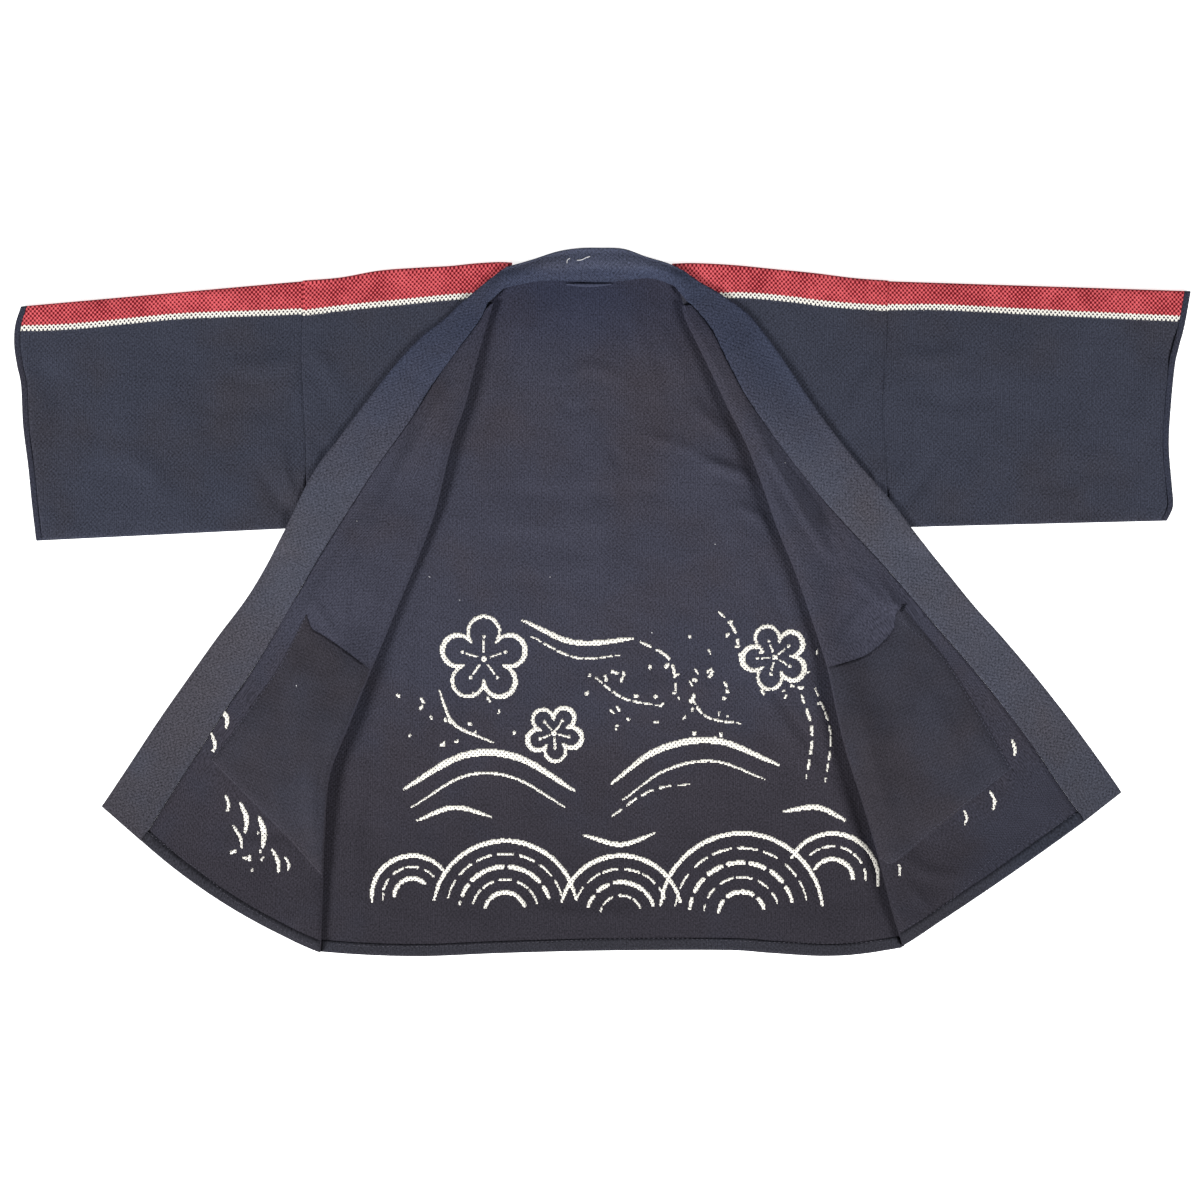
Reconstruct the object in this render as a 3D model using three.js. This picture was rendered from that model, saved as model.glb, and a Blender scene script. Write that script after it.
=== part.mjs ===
// A hanten jacket laid flat on its back, both fronts turned outward so their insides show.
// Frame: X to the right sleeve cuff, Y toward the collar, Z up from the table. Millimetres.
import * as THREE from 'three';

// Driving dimensions
const CLOTH = 1.6;          // body and sleeve cloth
const BAND = 3.2;           // collar band, cloth folded over a core
const PATCH = 1.0;          // pocket cloth
const HEM = 1.2;            // turned-up hem
const SEAM_GAP = 0.35;      // air between neighbouring pieces
const LOOSE_GAP = 0.7;      // air under the turned-out flap and the collar
const FOLD_R = 1.85;        // mid-surface radius of the shoulder and sleeve folds
const CUFF_WIDTH = 6.5;
const HEM_WIDTH = 13;
const RELAX = 38;           // distance over which a full fold roll sinks onto the cloth below
const FULL_ROLL = 4.2;
const LOW_Z = CLOTH * 1.5 + SEAM_GAP;            // mid height of a front where it lies on the back
const PUFF = CLOTH / 2 + 2 * FOLD_R - LOW_Z;     // how much higher it is at shoulder and armhole
const SLEEVE_TOP = CLOTH + 2 * FOLD_R;
const ARMHOLE_GAP = 1.4 * SEAM_GAP;               // at a seam that runs at a slant the gap is a little wider
const COLLAR_GAP = 1.3 * SEAM_GAP;
const SHOULDER_RISE = 40;   // the front rises to the shoulder fold over about this distance
const ARMHOLE_RISE = 35;    // and to the armhole seam over this one
const ARMHOLE_END = { from: 30, over: 60 };       // the armhole's rise fades in above this Y
const DROP = { from: 9, over: 27 };               // a flap sinks to the table past an edge below it
const FLAP_SPREAD = 1.25;   // flap cells grow away from the fold

// One row per level from neck to hem: side seam, fold and collar seam in plan, the collar's free edge,
// the radius of the fold's roll, and how far the row bows toward the hem.
const LEFT = [
  {
    side: [-323, 334], fold: [-115, 334],
    seam: [-122.6, 322.4], edge: [-124.7, 345], roll: 1.6, bow: 0,
  },
  {
    side: [-323, 310.5], fold: [-121.5, 310.5],
    seam: [-131.2, 304], edge: [-151.7, 322.4], roll: 1.8, bow: 0,
  },
  {
    side: [-324.5, 285.7], fold: [-129, 285.7],
    seam: [-143.1, 287.8], edge: [-171.2, 304], roll: 2.6, bow: 0,
  },
  {
    side: [-324.5, 250], fold: [-138.8, 250],
    seam: [-160.4, 265.1], edge: [-197.1, 283.5], roll: 3.4, bow: 0,
  },
  {
    side: [-322.4, 209], fold: [-149.6, 209],
    seam: [-183.5, 232.7], edge: [-224.1, 254.3], roll: 4, bow: 0,
  },
  {
    side: [-320.2, 168], fold: [-163.6, 168],
    seam: [-205.7, 197.5], edge: [-247.9, 224.1], roll: 4.4, bow: 0,
  },
  {
    side: [-320.2, 101], fold: [-179.8, 101],
    seam: [-243.5, 145.3], edge: [-285.7, 174.4], roll: 3.6, bow: 0,
  },
  {
    side: [-321.3, 53.5], fold: [-197, 53.5],
    seam: [-270, 104.2], edge: [-313.7, 135.5], roll: 3, bow: 0,
  },
  {
    side: [-320.2, -7], fold: [-222, -7],
    seam: [-304, 50.2], edge: [-345.1, 71.8], roll: 2.9, bow: 0,
  },
  {
    side: [-318, -71.8], fold: [-249, -71.8],
    seam: [-338.6, -9.2], edge: [-379.6, 10.3], roll: 3.6, bow: 2,
  },
  {
    side: [-316, -133.4], fold: [-273.8, -133.4],
    seam: [-372, -65], edge: [-416.3, -39.4], roll: 4.2, bow: 3,
  },
  {
    side: [-314, -187.4], fold: [-294.3, -187.4],
    seam: [-403.4, -111.8], edge: [-450.9, -88], roll: 4, bow: 4,
  },
  {
    side: [-312.7, -246.8], fold: [-299.7, -246.8],
    seam: [-431.5, -155], edge: [-479.5, -129], roll: 3, bow: 6,
  },
  {
    side: [-312.7, -299.7], fold: [-301.9, -299.7],
    seam: [-455.8, -192.8], edge: [-504.4, -166.9], roll: 2.2, bow: 8,
  },
  {
    side: [-312.7, -365], fold: [-304, -365.6],
    seam: [-489.8, -246.8], edge: [-533, -210], roll: 1.5, bow: 10,
  },
  {
    side: [-312.7, -377.5], fold: [-305, -378.5],
    seam: [-497.3, -258.7], edge: [-540.5, -220.9], roll: 1.4, bow: 10,
  },
];
const RIGHT = [
  {
    side: [308.5, 335.3], fold: [81.5, 335.3],
    seam: [90.2, 324.5], edge: [105.3, 344], roll: 1.6, bow: 0,
  },
  {
    side: [307.3, 304], fold: [90.2, 304],
    seam: [102, 312.7], edge: [128, 331], roll: 2.4, bow: 0,
  },
  {
    side: [306.2, 277], fold: [103.1, 277],
    seam: [119.3, 289], edge: [155, 311.6], roll: 3.2, bow: 0,
  },
  {
    side: [304, 245.7], fold: [118.3, 245.7],
    seam: [134.5, 257.6], edge: [174.4, 289], roll: 3.8, bow: 0,
  },
  {
    side: [301.9, 209], fold: [135.5, 209],
    seam: [153.3, 222], edge: [199.3, 254.3], roll: 4.2, bow: 0,
  },
  {
    side: [305.1, 168], fold: [156, 168],
    seam: [178.7, 184.6], edge: [222, 219.8], roll: 4.8, bow: 0,
  },
  {
    side: [307.3, 125.8], fold: [172.3, 125.8],
    seam: [205, 149.6], edge: [247.9, 184], roll: 5, bow: 0,
  },
  {
    side: [308.3, 77.2], fold: [189.5, 77.2],
    seam: [236.4, 111.3], edge: [276, 148.5], roll: 5, bow: 0,
  },
  {
    side: [309.4, 29.7], fold: [209, 29.7],
    seam: [270.2, 74.3], edge: [307.3, 113], roll: 4, bow: 0,
  },
  {
    side: [310.5, -20], fold: [226.3, -20],
    seam: [304.8, 37.3], edge: [339.7, 70.7], roll: 3.6, bow: 0,
  },
  {
    side: [311.6, -70.7], fold: [242.5, -70.7],
    seam: [338, -1], edge: [373.1, 29.7], roll: 4, bow: 0,
  },
  {
    side: [312.7, -117.2], fold: [252.2, -117.2],
    seam: [366.4, -34], edge: [401.2, -4.9], roll: 5, bow: 0,
  },
  {
    side: [315.9, -162.5], fold: [263, -162.5],
    seam: [394.6, -66.4], edge: [430.4, -37.3], roll: 5, bow: 0,
  },
  {
    side: [319.1, -216.5], fold: [280.3, -216.5],
    seam: [428.8, -108.5], edge: [466, -79.4], roll: 4.6, bow: 0,
  },
  {
    side: [322.4, -279.2], fold: [298.6, -279.2],
    seam: [465, -157], edge: [502.7, -125.8], roll: 3.6, bow: 2,
  },
  {
    side: [326.7, -330], fold: [311.6, -330],
    seam: [492.6, -198.2], edge: [535.1, -170], roll: 2.4, bow: 2,
  },
  {
    side: [330, -358], fold: [320.2, -358],
    seam: [512.5, -226.3], edge: [553.5, -196], roll: 1.7, bow: 2,
  },
  {
    side: [331, -370.5], fold: [324.5, -371],
    seam: [519, -238], edge: [560, -205.7], roll: 1.4, bow: 2,
  },
];
// The collar round the nape: seam and free edge in plan, their heights, and the arch between them.
const NAPE = [
  { seam: [-107, 337], edge: [-104.2, 360.2], low: 6, high: 7, arch: 3 },
  { seam: [-78.3, 346.1], edge: [-76.1, 368.8], low: 3.4, high: 4, arch: 5 },
  { seam: [-50.2, 348.3], edge: [-50.2, 377.5], low: 0.6, high: 1.2, arch: 6 },
  { seam: [-24.3, 346.7], edge: [-26.5, 381.4], low: 0.3, high: 0.3, arch: 5.5 },
  { seam: [-0.5, 346.1], edge: [-2.7, 381.9], low: 0.3, high: 0.3, arch: 5.5 },
  { seam: [24.3, 348.3], edge: [23.2, 380.7], low: 0.6, high: 0.5, arch: 6 },
  { seam: [49.1, 350.5], edge: [47, 372.1], low: 2.4, high: 3, arch: 6 },
  { seam: [68, 346], edge: [70.7, 364.5], low: 4.8, high: 6.2, arch: 4 },
  { seam: [78, 339], edge: [88, 356], low: 6.4, high: 6.8, arch: 3 },
];
// Shoulder line of each side, from armhole to neck point
const SHOULDER_LEFT = [
  [-323.2, 345.6], [-283.5, 348.8], [-240.3, 356.4], [-197.1, 359.6], [-164.7, 361.3],
  [-138.8, 364], [-112, 365.6], [-97.5, 365],
];
const SHOULDER_RIGHT = [
  [308.5, 345.6], [271.6, 348.3], [228.4, 353.7], [185.2, 358], [142, 362.3], [98.8, 364.5], [75, 363.8],
];
// Hem line of the back panel, left to right
const BACK_HEM = [
  [-312.7, -377.5], [-268, -381], [-225, -382.8], [-182, -382.8], [-117, -380], [-30, -377.6], [55, -376.5],
  [142, -376.6], [185, -379.6], [240, -382.8], [280, -380.6], [331, -372.5],
];
// Cuff openings, shoulder fold to underarm fold
const CUFF_LEFT = [
  [-627, 318.5], [-633.4, 297.5], [-634.4, 276], [-631.3, 254.3], [-627, 232.7], [-624.8, 189.5],
  [-619.4, 146.3], [-615.1, 103], [-610.7, 65.4],
];
const CUFF_RIGHT = [
  [634.4, 335], [627.6, 297.5], [622, 275.9], [617.2, 254.3], [612.9, 211], [610.7, 168], [614, 124.7],
  [615.2, 103], [608.6, 87],
];

const INDIGO = 0x3d3f4b;
const INSIDE = 0x43424e;
const BAND_BLUE = 0x4d4d58;
const POCKET_GREY = 0x39383e;
const BINDING = 0x23242c;

// Curves
const mix = (a, b, t) => a + (b - a) * t;
const mixPoint = (a, b, t) => [mix(a[0], b[0], t), mix(a[1], b[1], t)];
const clamp = (v, low = 0, high = 1) => Math.min(high, Math.max(low, v));
const ease = (t) => (1 - Math.cos(Math.PI * clamp(t))) / 2;

function catmull(p0, p1, p2, p3, t) {
  return 0.5 * (2 * p1 + (p2 - p0) * t + (2 * p0 - 5 * p1 + 4 * p2 - p3) * t * t
    + (3 * p1 - p0 - 3 * p2 + p3) * t * t * t);
}

// Value of a list of numbers or points at a fractional index
function along(list, at) {
  const i = clamp(Math.floor(at), 0, list.length - 2);
  const t = at - i;
  const pick = (k, c) => {
    const read = (n) => (c === null ? list[n] : list[n][c]);
    if (k < 0) return 2 * read(0) - read(1);
    if (k >= list.length) return 2 * read(k - 1) - read(k - 2);
    return read(k);
  };
  const value = (c) => catmull(pick(i - 1, c), pick(i, c), pick(i + 1, c), pick(i + 2, c), t);
  return Array.isArray(list[0]) ? [value(0), value(1)] : value(null);
}

function column(table, name) {
  return table.map((row) => row[name]);
}

// Second coordinate of a curve where its first coordinate is x
function crossing(curve, x, first = 0, second = 1) {
  const sign = Math.sign(curve[curve.length - 1][first] - curve[0][first]);
  let low = 0;
  let high = curve.length - 1;
  for (let n = 0; n < 40; n += 1) {
    const half = (low + high) / 2;
    if ((along(curve, half)[first] - x) * sign < 0) low = half; else high = half;
  }
  return along(curve, low)[second];
}

// Heights of what lies under the flaps and the collar
function side(left) {
  const table = left ? LEFT : RIGHT;
  return {
    table,
    sign: left ? -1 : 1,
    shoulder: left ? SHOULDER_LEFT : SHOULDER_RIGHT,
    cuff: left ? CUFF_LEFT : CUFF_RIGHT,
    seamLine: [left ? SHOULDER_LEFT[0] : SHOULDER_RIGHT[0], ...column(table, 'side')],
    underarm: left ? [-320.4, 79.6] : [308.4, 79.6],
  };
}
const SIDES = { left: side(true), right: side(false) };

function puff(s, x, y) {
  const inward = Math.max(0, s.sign * (crossing(s.seamLine, y, 1, 0) - x));
  const down = Math.max(0, crossing(s.shoulder, x) - y);
  const armhole = Math.exp(-((inward / ARMHOLE_RISE) ** 2)) * ease((y - ARMHOLE_END.from) / ARMHOLE_END.over);
  return PUFF * (1 - (1 - Math.exp(-((down / SHOULDER_RISE) ** 2))) * (1 - armhole));
}

const fall = (distance) => 1 - ease((distance - DROP.from) / DROP.over);

function bed(s, x, y) {
  const out = s.sign * (x - crossing(s.seamLine, y, 1, 0));
  const cuffEnd = s.cuff[s.cuff.length - 1];
  const under = mix(s.underarm[1], cuffEnd[1], (x - s.underarm[0]) / (cuffEnd[0] - s.underarm[0]));
  const low = Math.max(0, under - y);
  const body = (LOW_Z + CLOTH / 2 + puff(s, x, y)) * fall(out);
  const arm = SLEEVE_TOP * fall(Math.hypot(low, Math.max(0, -out)));
  return Math.max(body, arm);
}

// Solids from lattices of points
const vec = (x, y, z) => new THREE.Vector3(x, y, z);

function normals(mid) {
  return mid.map((row, i) => row.map((_, j) => {
    const down = mid[Math.min(i + 1, mid.length - 1)][j].clone().sub(mid[Math.max(i - 1, 0)][j]);
    const across = row[Math.min(j + 1, row.length - 1)].clone().sub(row[Math.max(j - 1, 0)]);
    return down.cross(across).normalize();
  }));
}

function offset(mid, normal, by) {
  return mid.map((row, i) => row.map((p, j) => {
    const moved = p.clone().addScaledVector(normal[i][j], by);
    moved.z = Math.max(0, moved.z);
    return moved;
  }));
}

function solid(name, colour, top, bottom, keep = () => true, closed = false) {
  const rows = top.length - 1;
  const cols = top[0].length - (closed ? 0 : 1);
  const width = top[0].length;
  const points = [];
  const faces = [];
  const seen = new Map();
  const id = (layer, i, j) => {
    const key = (layer * 1000 + i) * 1000 + (j % width);
    if (!seen.has(key)) {
      seen.set(key, points.length / 3);
      points.push(...(layer ? bottom : top)[i][j % width].toArray());
    }
    return seen.get(key);
  };
  const has = (i, j) => {
    if (i < 0 || i >= rows) return false;
    if (closed) return keep(i, (j + cols) % cols);
    return j >= 0 && j < cols && keep(i, j);
  };
  const wall = (i0, j0, i1, j1) => {
    faces.push(id(0, i0, j0), id(1, i0, j0), id(1, i1, j1), id(0, i0, j0), id(1, i1, j1), id(0, i1, j1));
  };
  for (let i = 0; i < rows; i += 1) {
    for (let j = 0; j < cols; j += 1) {
      if (!has(i, j)) continue;
      faces.push(id(0, i, j), id(0, i, j + 1), id(0, i + 1, j + 1));
      faces.push(id(0, i, j), id(0, i + 1, j + 1), id(0, i + 1, j));
      faces.push(id(1, i, j), id(1, i + 1, j + 1), id(1, i, j + 1));
      faces.push(id(1, i, j), id(1, i + 1, j), id(1, i + 1, j + 1));
      if (!has(i - 1, j)) wall(i, j, i, j + 1);
      if (!has(i + 1, j)) wall(i + 1, j + 1, i + 1, j);
      if (!has(i, j - 1)) wall(i + 1, j, i, j);
      if (!has(i, j + 1)) wall(i, j + 1, i + 1, j + 1);
    }
  }
  let volume = 0;
  const at = (k) => vec(points[3 * k], points[3 * k + 1], points[3 * k + 2]);
  for (let k = 0; k < faces.length; k += 3) {
    volume += at(faces[k]).dot(at(faces[k + 1]).cross(at(faces[k + 2])));
  }
  if (volume < 0) {
    for (let k = 0; k < faces.length; k += 3) [faces[k], faces[k + 1]] = [faces[k + 1], faces[k]];
  }
  const geometry = new THREE.BufferGeometry();
  geometry.setAttribute('position', new THREE.Float32BufferAttribute(points, 3));
  geometry.setIndex(faces);
  geometry.computeVertexNormals();
  const material = new THREE.MeshStandardMaterial({ color: colour, roughness: 0.95, metalness: 0 });
  const mesh = new THREE.Mesh(geometry, material);
  mesh.name = name;
  return mesh;
}

// A front: lower layer from the side seam to the fold, the roll, and the flap to the collar seam
const LOWER_CELLS = 6;
const ROLL_CELLS = 5;
const FLAP_CELLS = 7;
const WRAP = [-90, -45, 0, 45, 90];
const NECK_ROWS = [0.35, 0.7];
const FLAP_START = 1;       // lattice row of the table part where the flap begins
const ROW_STEP = 0.5;
const UNUSED_STEP = 0.01;

function frontLattice(s) {
  const table = s.table;
  const mid = [];
  const lower = (x, y) => vec(x, y, LOW_Z + puff(s, x, y));
  // the neck rows have no roll and no flap: their points there belong to no cell
  const unused = (point) => Array.from(
    { length: ROLL_CELLS + FLAP_CELLS },
    (_, k) => point.clone().add(vec(0, 0, (k + 1) * UNUSED_STEP)),
  );
  const neck = s.shoulder[s.shoulder.length - 1];
  const top = table[0].side;
  const firstFold = table[0].fold;
  for (const angle of WRAP) {
    const turn = (angle * Math.PI) / 180;
    const row = [];
    for (let j = 0; j <= LOWER_CELLS; j += 1) {
      const x = mix(s.shoulder[0][0], neck[0], j / LOWER_CELLS);
      const y = crossing(s.shoulder, x);
      row.push(vec(x, y - FOLD_R * (1 - Math.cos(turn)), CLOTH / 2 + FOLD_R * (1 + Math.sin(turn))));
    }
    mid.push([...row, ...unused(row[LOWER_CELLS])]);
  }
  for (const share of NECK_ROWS) {
    const row = [];
    for (let j = 0; j <= LOWER_CELLS; j += 1) {
      const x = mix(s.shoulder[0][0], neck[0], j / LOWER_CELLS);
      const from = [x, crossing(s.shoulder, x) - FOLD_R];
      const to = mixPoint(top, [firstFold[0] + s.sign * table[0].roll, firstFold[1]], j / LOWER_CELLS);
      const [px, py] = mixPoint(from, to, share);
      row.push(lower(px, py));
    }
    mid.push([...row, ...unused(row[LOWER_CELLS])]);
  }
  const tableRow = mid.length;
  for (let at = 0; at <= table.length - 1 + 1e-9; at += ROW_STEP) {
    const sideAt = along(column(table, 'side'), at);
    const foldAt = along(column(table, 'fold'), at);
    const seamAt = along(column(table, 'seam'), at);
    const roll = along(column(table, 'roll'), at);
    const bow = along(column(table, 'bow'), at);
    const row = [];
    const toSide = Math.hypot(sideAt[0] - foldAt[0], sideAt[1] - foldAt[1]);
    const dirSide = [(sideAt[0] - foldAt[0]) / toSide, (sideAt[1] - foldAt[1]) / toSide];
    const toSeam = Math.hypot(seamAt[0] - foldAt[0], seamAt[1] - foldAt[1]);
    const dirSeam = [(seamAt[0] - foldAt[0]) / toSeam, (seamAt[1] - foldAt[1]) / toSeam];
    const bowDir = [dirSeam[1] * s.sign, -dirSeam[0] * s.sign];
    for (let j = 0; j <= LOWER_CELLS; j += 1) {
      const d = mix(toSide, roll, j / LOWER_CELLS);
      row.push(lower(foldAt[0] + dirSide[0] * d, foldAt[1] + dirSide[1] * d));
    }
    const lowZ = LOW_Z + puff(s, foldAt[0], foldAt[1]);
    for (let k = 1; k <= ROLL_CELLS; k += 1) {
      const turn = -Math.PI / 2 + (Math.PI * k) / ROLL_CELLS;
      const d = roll * (1 - Math.cos(turn));
      const dir = turn < 0 ? dirSide : dirSeam;
      row.push(vec(foldAt[0] + dir[0] * d, foldAt[1] + dir[1] * d, lowZ + roll * (1 + Math.sin(turn))));
    }
    const relax = (RELAX * roll) / FULL_ROLL;
    for (let k = 1; k <= FLAP_CELLS; k += 1) {
      const share = k / FLAP_CELLS;
      const d = mix(roll, toSeam, share ** FLAP_SPREAD);
      const bend = bow * 4 * (d / toSeam) * (1 - d / toSeam);
      const x = foldAt[0] + dirSeam[0] * d + bowDir[0] * bend;
      const y = foldAt[1] + dirSeam[1] * d + bowDir[1] * bend;
      const rest = bed(s, x, y) + LOOSE_GAP + CLOTH / 2;
      const lift = Math.max(0, lowZ + 2 * roll - rest) * (1 - ease((d - roll) / relax));
      row.push(vec(x, y, rest + lift));
    }
    mid.push(row);
  }
  const lastLower = LOWER_CELLS;
  const firstFlapRow = tableRow + FLAP_START;
  const keep = (i, j) => j < LOWER_CELLS || i >= firstFlapRow;
  const normal = normals(mid);
  // next to the missing corner the normals come from the cells that exist
  for (let i = 0; i <= firstFlapRow; i += 1) {
    const row = mid[i];
    for (let j = 0; j < row.length; j += 1) {
      if (i < firstFlapRow && j > lastLower) continue;
      if (i < firstFlapRow && j < lastLower) continue;
      const i0 = i < firstFlapRow ? Math.max(0, i - 1) : (j > lastLower ? i : i - 1);
      const j1 = i < firstFlapRow ? j : Math.min(j + 1, row.length - 1);
      const down = mid[i + 1][j].clone().sub(mid[i0][j]);
      const across = row[j1].clone().sub(row[Math.max(0, j - 1)]);
      normal[i][j] = down.cross(across).normalize();
    }
  }
  const flip = normal[tableRow + 3][2].z < 0 ? -1 : 1;
  normal.forEach((row) => row.forEach((n) => n.multiplyScalar(flip)));
  return { mid, normal, keep, tableRow };
}

// Levels of the table between which the pocket lies, and how far it reaches toward the collar
const POCKETS = { left: { from: 9, to: 13, cells: 6 }, right: { from: 10, to: 14, cells: 6 } };

function frontPieces(name) {
  const s = SIDES[name];
  const lattice = frontLattice(s);
  const { mid, normal, keep, tableRow } = lattice;
  const outside = offset(mid, normal, CLOTH / 2);
  const inside = offset(mid, normal, -CLOTH / 2);
  const firstCell = LOWER_CELLS + ROLL_CELLS;
  const { from, to, cells } = POCKETS[name];
  const rowOf = (level) => tableRow + Math.round(level / ROW_STEP);
  const above = (height) => offset(mid, normal, -CLOTH / 2 - height);
  const onPocket = (i, j) => i >= rowOf(from) && i < rowOf(to) && j >= firstCell && j < firstCell + cells;
  const onHem = (i, j) => i >= rowOf(s.table.length - 2) && j >= firstCell;
  return {
    lattice,
    meshes: [
      solid(`front_${name}`, INDIGO, outside, inside, keep),
      solid(`pocket_${name}`, POCKET_GREY, above(SEAM_GAP), above(SEAM_GAP + PATCH), onPocket),
      solid(`hem_${name}`, INDIGO, above(SEAM_GAP), above(SEAM_GAP + HEM), onHem),
    ],
  };
}

// Sleeves: a flattened tube between the armhole and the cuff, and a narrow bound cuff edge
const SLEEVE_ROWS = 12;
const SLEEVE_FLAT = 9;
const LAST_RING = 0.97;       // share of the way to the cuff, before the ring at the cuff itself
const CUFF_END = 0.99999;

function sleevePieces(name) {
  const s = SIDES[name];
  const armhole = (t) => {
    const y = mix(s.shoulder[0][1], s.underarm[1], t);
    return [crossing(s.seamLine, y, 1, 0) + s.sign * ARMHOLE_GAP, y];
  };
  // rows run from the armhole to the cuff; each row is the closed loop round the tube
  const ring = (distance) => {
    const loop = (radius) => {
      const plan = (t) => {
        const a = armhole(t);
        const c = along(s.cuff, t * (s.cuff.length - 1));
        const length = Math.hypot(c[0] - a[0], c[1] - a[1]);
        const share = distance < 0 ? 1 + distance / length : distance;
        return mixPoint(a, c, share);
      };
      const topEdge = plan(0);
      const lowEdge = plan(1);
      const span = Math.hypot(topEdge[0] - lowEdge[0], topEdge[1] - lowEdge[1]);
      const inset = FOLD_R + CLOTH / 2;
      const points = [];
      const middle = CLOTH / 2 + FOLD_R;
      for (let k = 0; k <= SLEEVE_FLAT; k += 1) {
        const p = plan(mix(inset / span, 1 - inset / span, k / SLEEVE_FLAT));
        points.push(vec(p[0], p[1], middle + radius));
      }
      for (const turn of [45, 90, 135]) {
        const a = (turn * Math.PI) / 180;
        const p = plan(1 - inset / span + (radius * Math.sin(a)) / span);
        points.push(vec(p[0], p[1], middle + radius * Math.cos(a)));
      }
      for (let k = SLEEVE_FLAT; k >= 0; k -= 1) {
        const p = plan(mix(inset / span, 1 - inset / span, k / SLEEVE_FLAT));
        points.push(vec(p[0], p[1], middle - radius));
      }
      for (const turn of [45, 90, 135]) {
        const a = (turn * Math.PI) / 180;
        const p = plan(inset / span - (radius * Math.sin(a)) / span);
        points.push(vec(p[0], p[1], middle - radius * Math.cos(a)));
      }
      return points;
    };
    return { outer: loop(FOLD_R + CLOTH / 2), inner: loop(FOLD_R - CLOTH / 2) };
  };
  const tube = (rings, label, colour) => solid(
    label, colour, rings.map((r) => r.outer), rings.map((r) => r.inner), () => true, true,
  );
  const rings = [];
  for (let i = 0; i < SLEEVE_ROWS; i += 1) rings.push(ring((LAST_RING * i) / (SLEEVE_ROWS - 1)));
  rings.push(ring(-CUFF_WIDTH - SEAM_GAP));
  return [
    tube(rings, `sleeve_${name}`, INDIGO),
    tube([ring(-CUFF_WIDTH), ring(-CUFF_WIDTH / 2), ring(CUFF_END)], `cuff_${name}`, BINDING),
  ];
}

// Back panel with its hem: a level sheet whose soft ridges lift both faces
const BACK_COLUMNS = [
  0, 0.045, 0.09, 0.14, 0.19, 0.24, 0.29, 0.33, 0.35, 0.385, 0.42, 0.46, 0.5, 0.54, 0.58, 0.613, 0.634, 0.655,
  0.7, 0.75, 0.8, 0.85, 0.9, 0.95, 1,
];
const BACK_ROWS = 20;
const BACK_LEVELS = { top: 341, left: -377, right: -370 };   // Y at which the side seams are read
const BACK_LENGTH = 724;
const NECK_CORNERS = { left: -113, right: 81, width: 9, leftY: 334, rightY: 336 };
const NECK_GAP = 0.6;
const SHOULDER_GAP = 0.5;
const HEM_INSET = { left: 3, right: 9 };      // the hem of the back stops short of both folds
// Ridges: start, end, half width, height
const RIDGES = [
  { from: [-112, 250], to: [-150, 40], half: 26, rise: 1.6 },
  { from: [95, 215], to: [150, 60], half: 26, rise: 2 },
  { from: [150, -30], to: [236, -205], half: 24, rise: 2.2 },
  { from: [-168, -95], to: [-182, -250], half: 22, rise: 1.6 },
  { from: [60, 250], to: [40, 120], half: 24, rise: 1.2 },
];

function ridge(x, y) {
  let height = 0;
  for (const { from, to, half, rise } of RIDGES) {
    const axis = [to[0] - from[0], to[1] - from[1]];
    const length = Math.hypot(...axis);
    const t = ((x - from[0]) * axis[0] + (y - from[1]) * axis[1]) / length ** 2;
    const off = Math.abs((x - from[0]) * axis[1] - (y - from[1]) * axis[0]) / length;
    if (t > 0 && t < 1 && off < half) height += rise * Math.sin(Math.PI * t) * (1 - ease(off / half));
  }
  return height;
}

function backPieces() {
  const seamLeft = SIDES.left.seamLine;
  const seamRight = SIDES.right.seamLine;
  const neckline = [column(LEFT, 'seam')[0], ...column(NAPE, 'seam'), column(RIGHT, 'seam')[0]];
  const topAt = (x) => {
    const { left: leftEnd, right: rightEnd, width } = NECK_CORNERS;
    const inLeft = clamp((x - leftEnd) / width);
    const inRight = clamp((rightEnd - x) / width);
    const neck = crossing(neckline, clamp(x, leftEnd + width, rightEnd - width)) - NECK_GAP;
    const edge = (s) => crossing(s.shoulder, x) - 2 * FOLD_R + SHOULDER_GAP;
    if (inLeft < 1) return mix(edge(SIDES.left), Math.min(neck, NECK_CORNERS.leftY), inLeft);
    if (inRight < 1) return mix(edge(SIDES.right), Math.min(neck, NECK_CORNERS.rightY), inRight);
    return neck;
  };
  const hemAt = (x) => crossing(BACK_HEM, x);
  const mids = [];
  for (let i = 0; i <= BACK_ROWS; i += 1) {
    const t = i < BACK_ROWS ? (i / (BACK_ROWS - 1)) * (1 - HEM_WIDTH / BACK_LENGTH) : 1;
    const leftX = crossing(seamLeft, mix(BACK_LEVELS.top, BACK_LEVELS.left, t), 1, 0);
    const rightX = crossing(seamRight, mix(BACK_LEVELS.top, BACK_LEVELS.right, t), 1, 0);
    mids.push(BACK_COLUMNS.map((c) => {
      const x = mix(leftX, rightX, c);
      const topX = mix(seamLeft[0][0], seamRight[0][0], c);
      const hemX = mix(BACK_HEM[0][0], BACK_HEM[BACK_HEM.length - 1][0], c);
      const y = mix(topAt(topX), hemAt(hemX), t);
      return vec(x, y, ridge(x, y));
    }));
  }
  const lift = (by) => mids.map((row) => row.map((p) => vec(p.x, p.y, p.z + by)));
  const foldLeft = LEFT[LEFT.length - 1].fold[0];
  const foldRight = RIGHT[RIGHT.length - 1].fold[0];
  const onHem = (i, j) => i === BACK_ROWS - 1
    && mids[i][j].x > foldLeft + HEM_INSET.left && mids[i][j + 1].x < foldRight - HEM_INSET.right;
  return [
    solid('back', INSIDE, lift(CLOTH), lift(0)),
    solid('hem_back', INDIGO, lift(CLOTH + SEAM_GAP + HEM), lift(CLOTH + SEAM_GAP), onHem),
  ];
}

// Collar band along both flaps and round the nape
const BAND_CELLS = 5;

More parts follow.
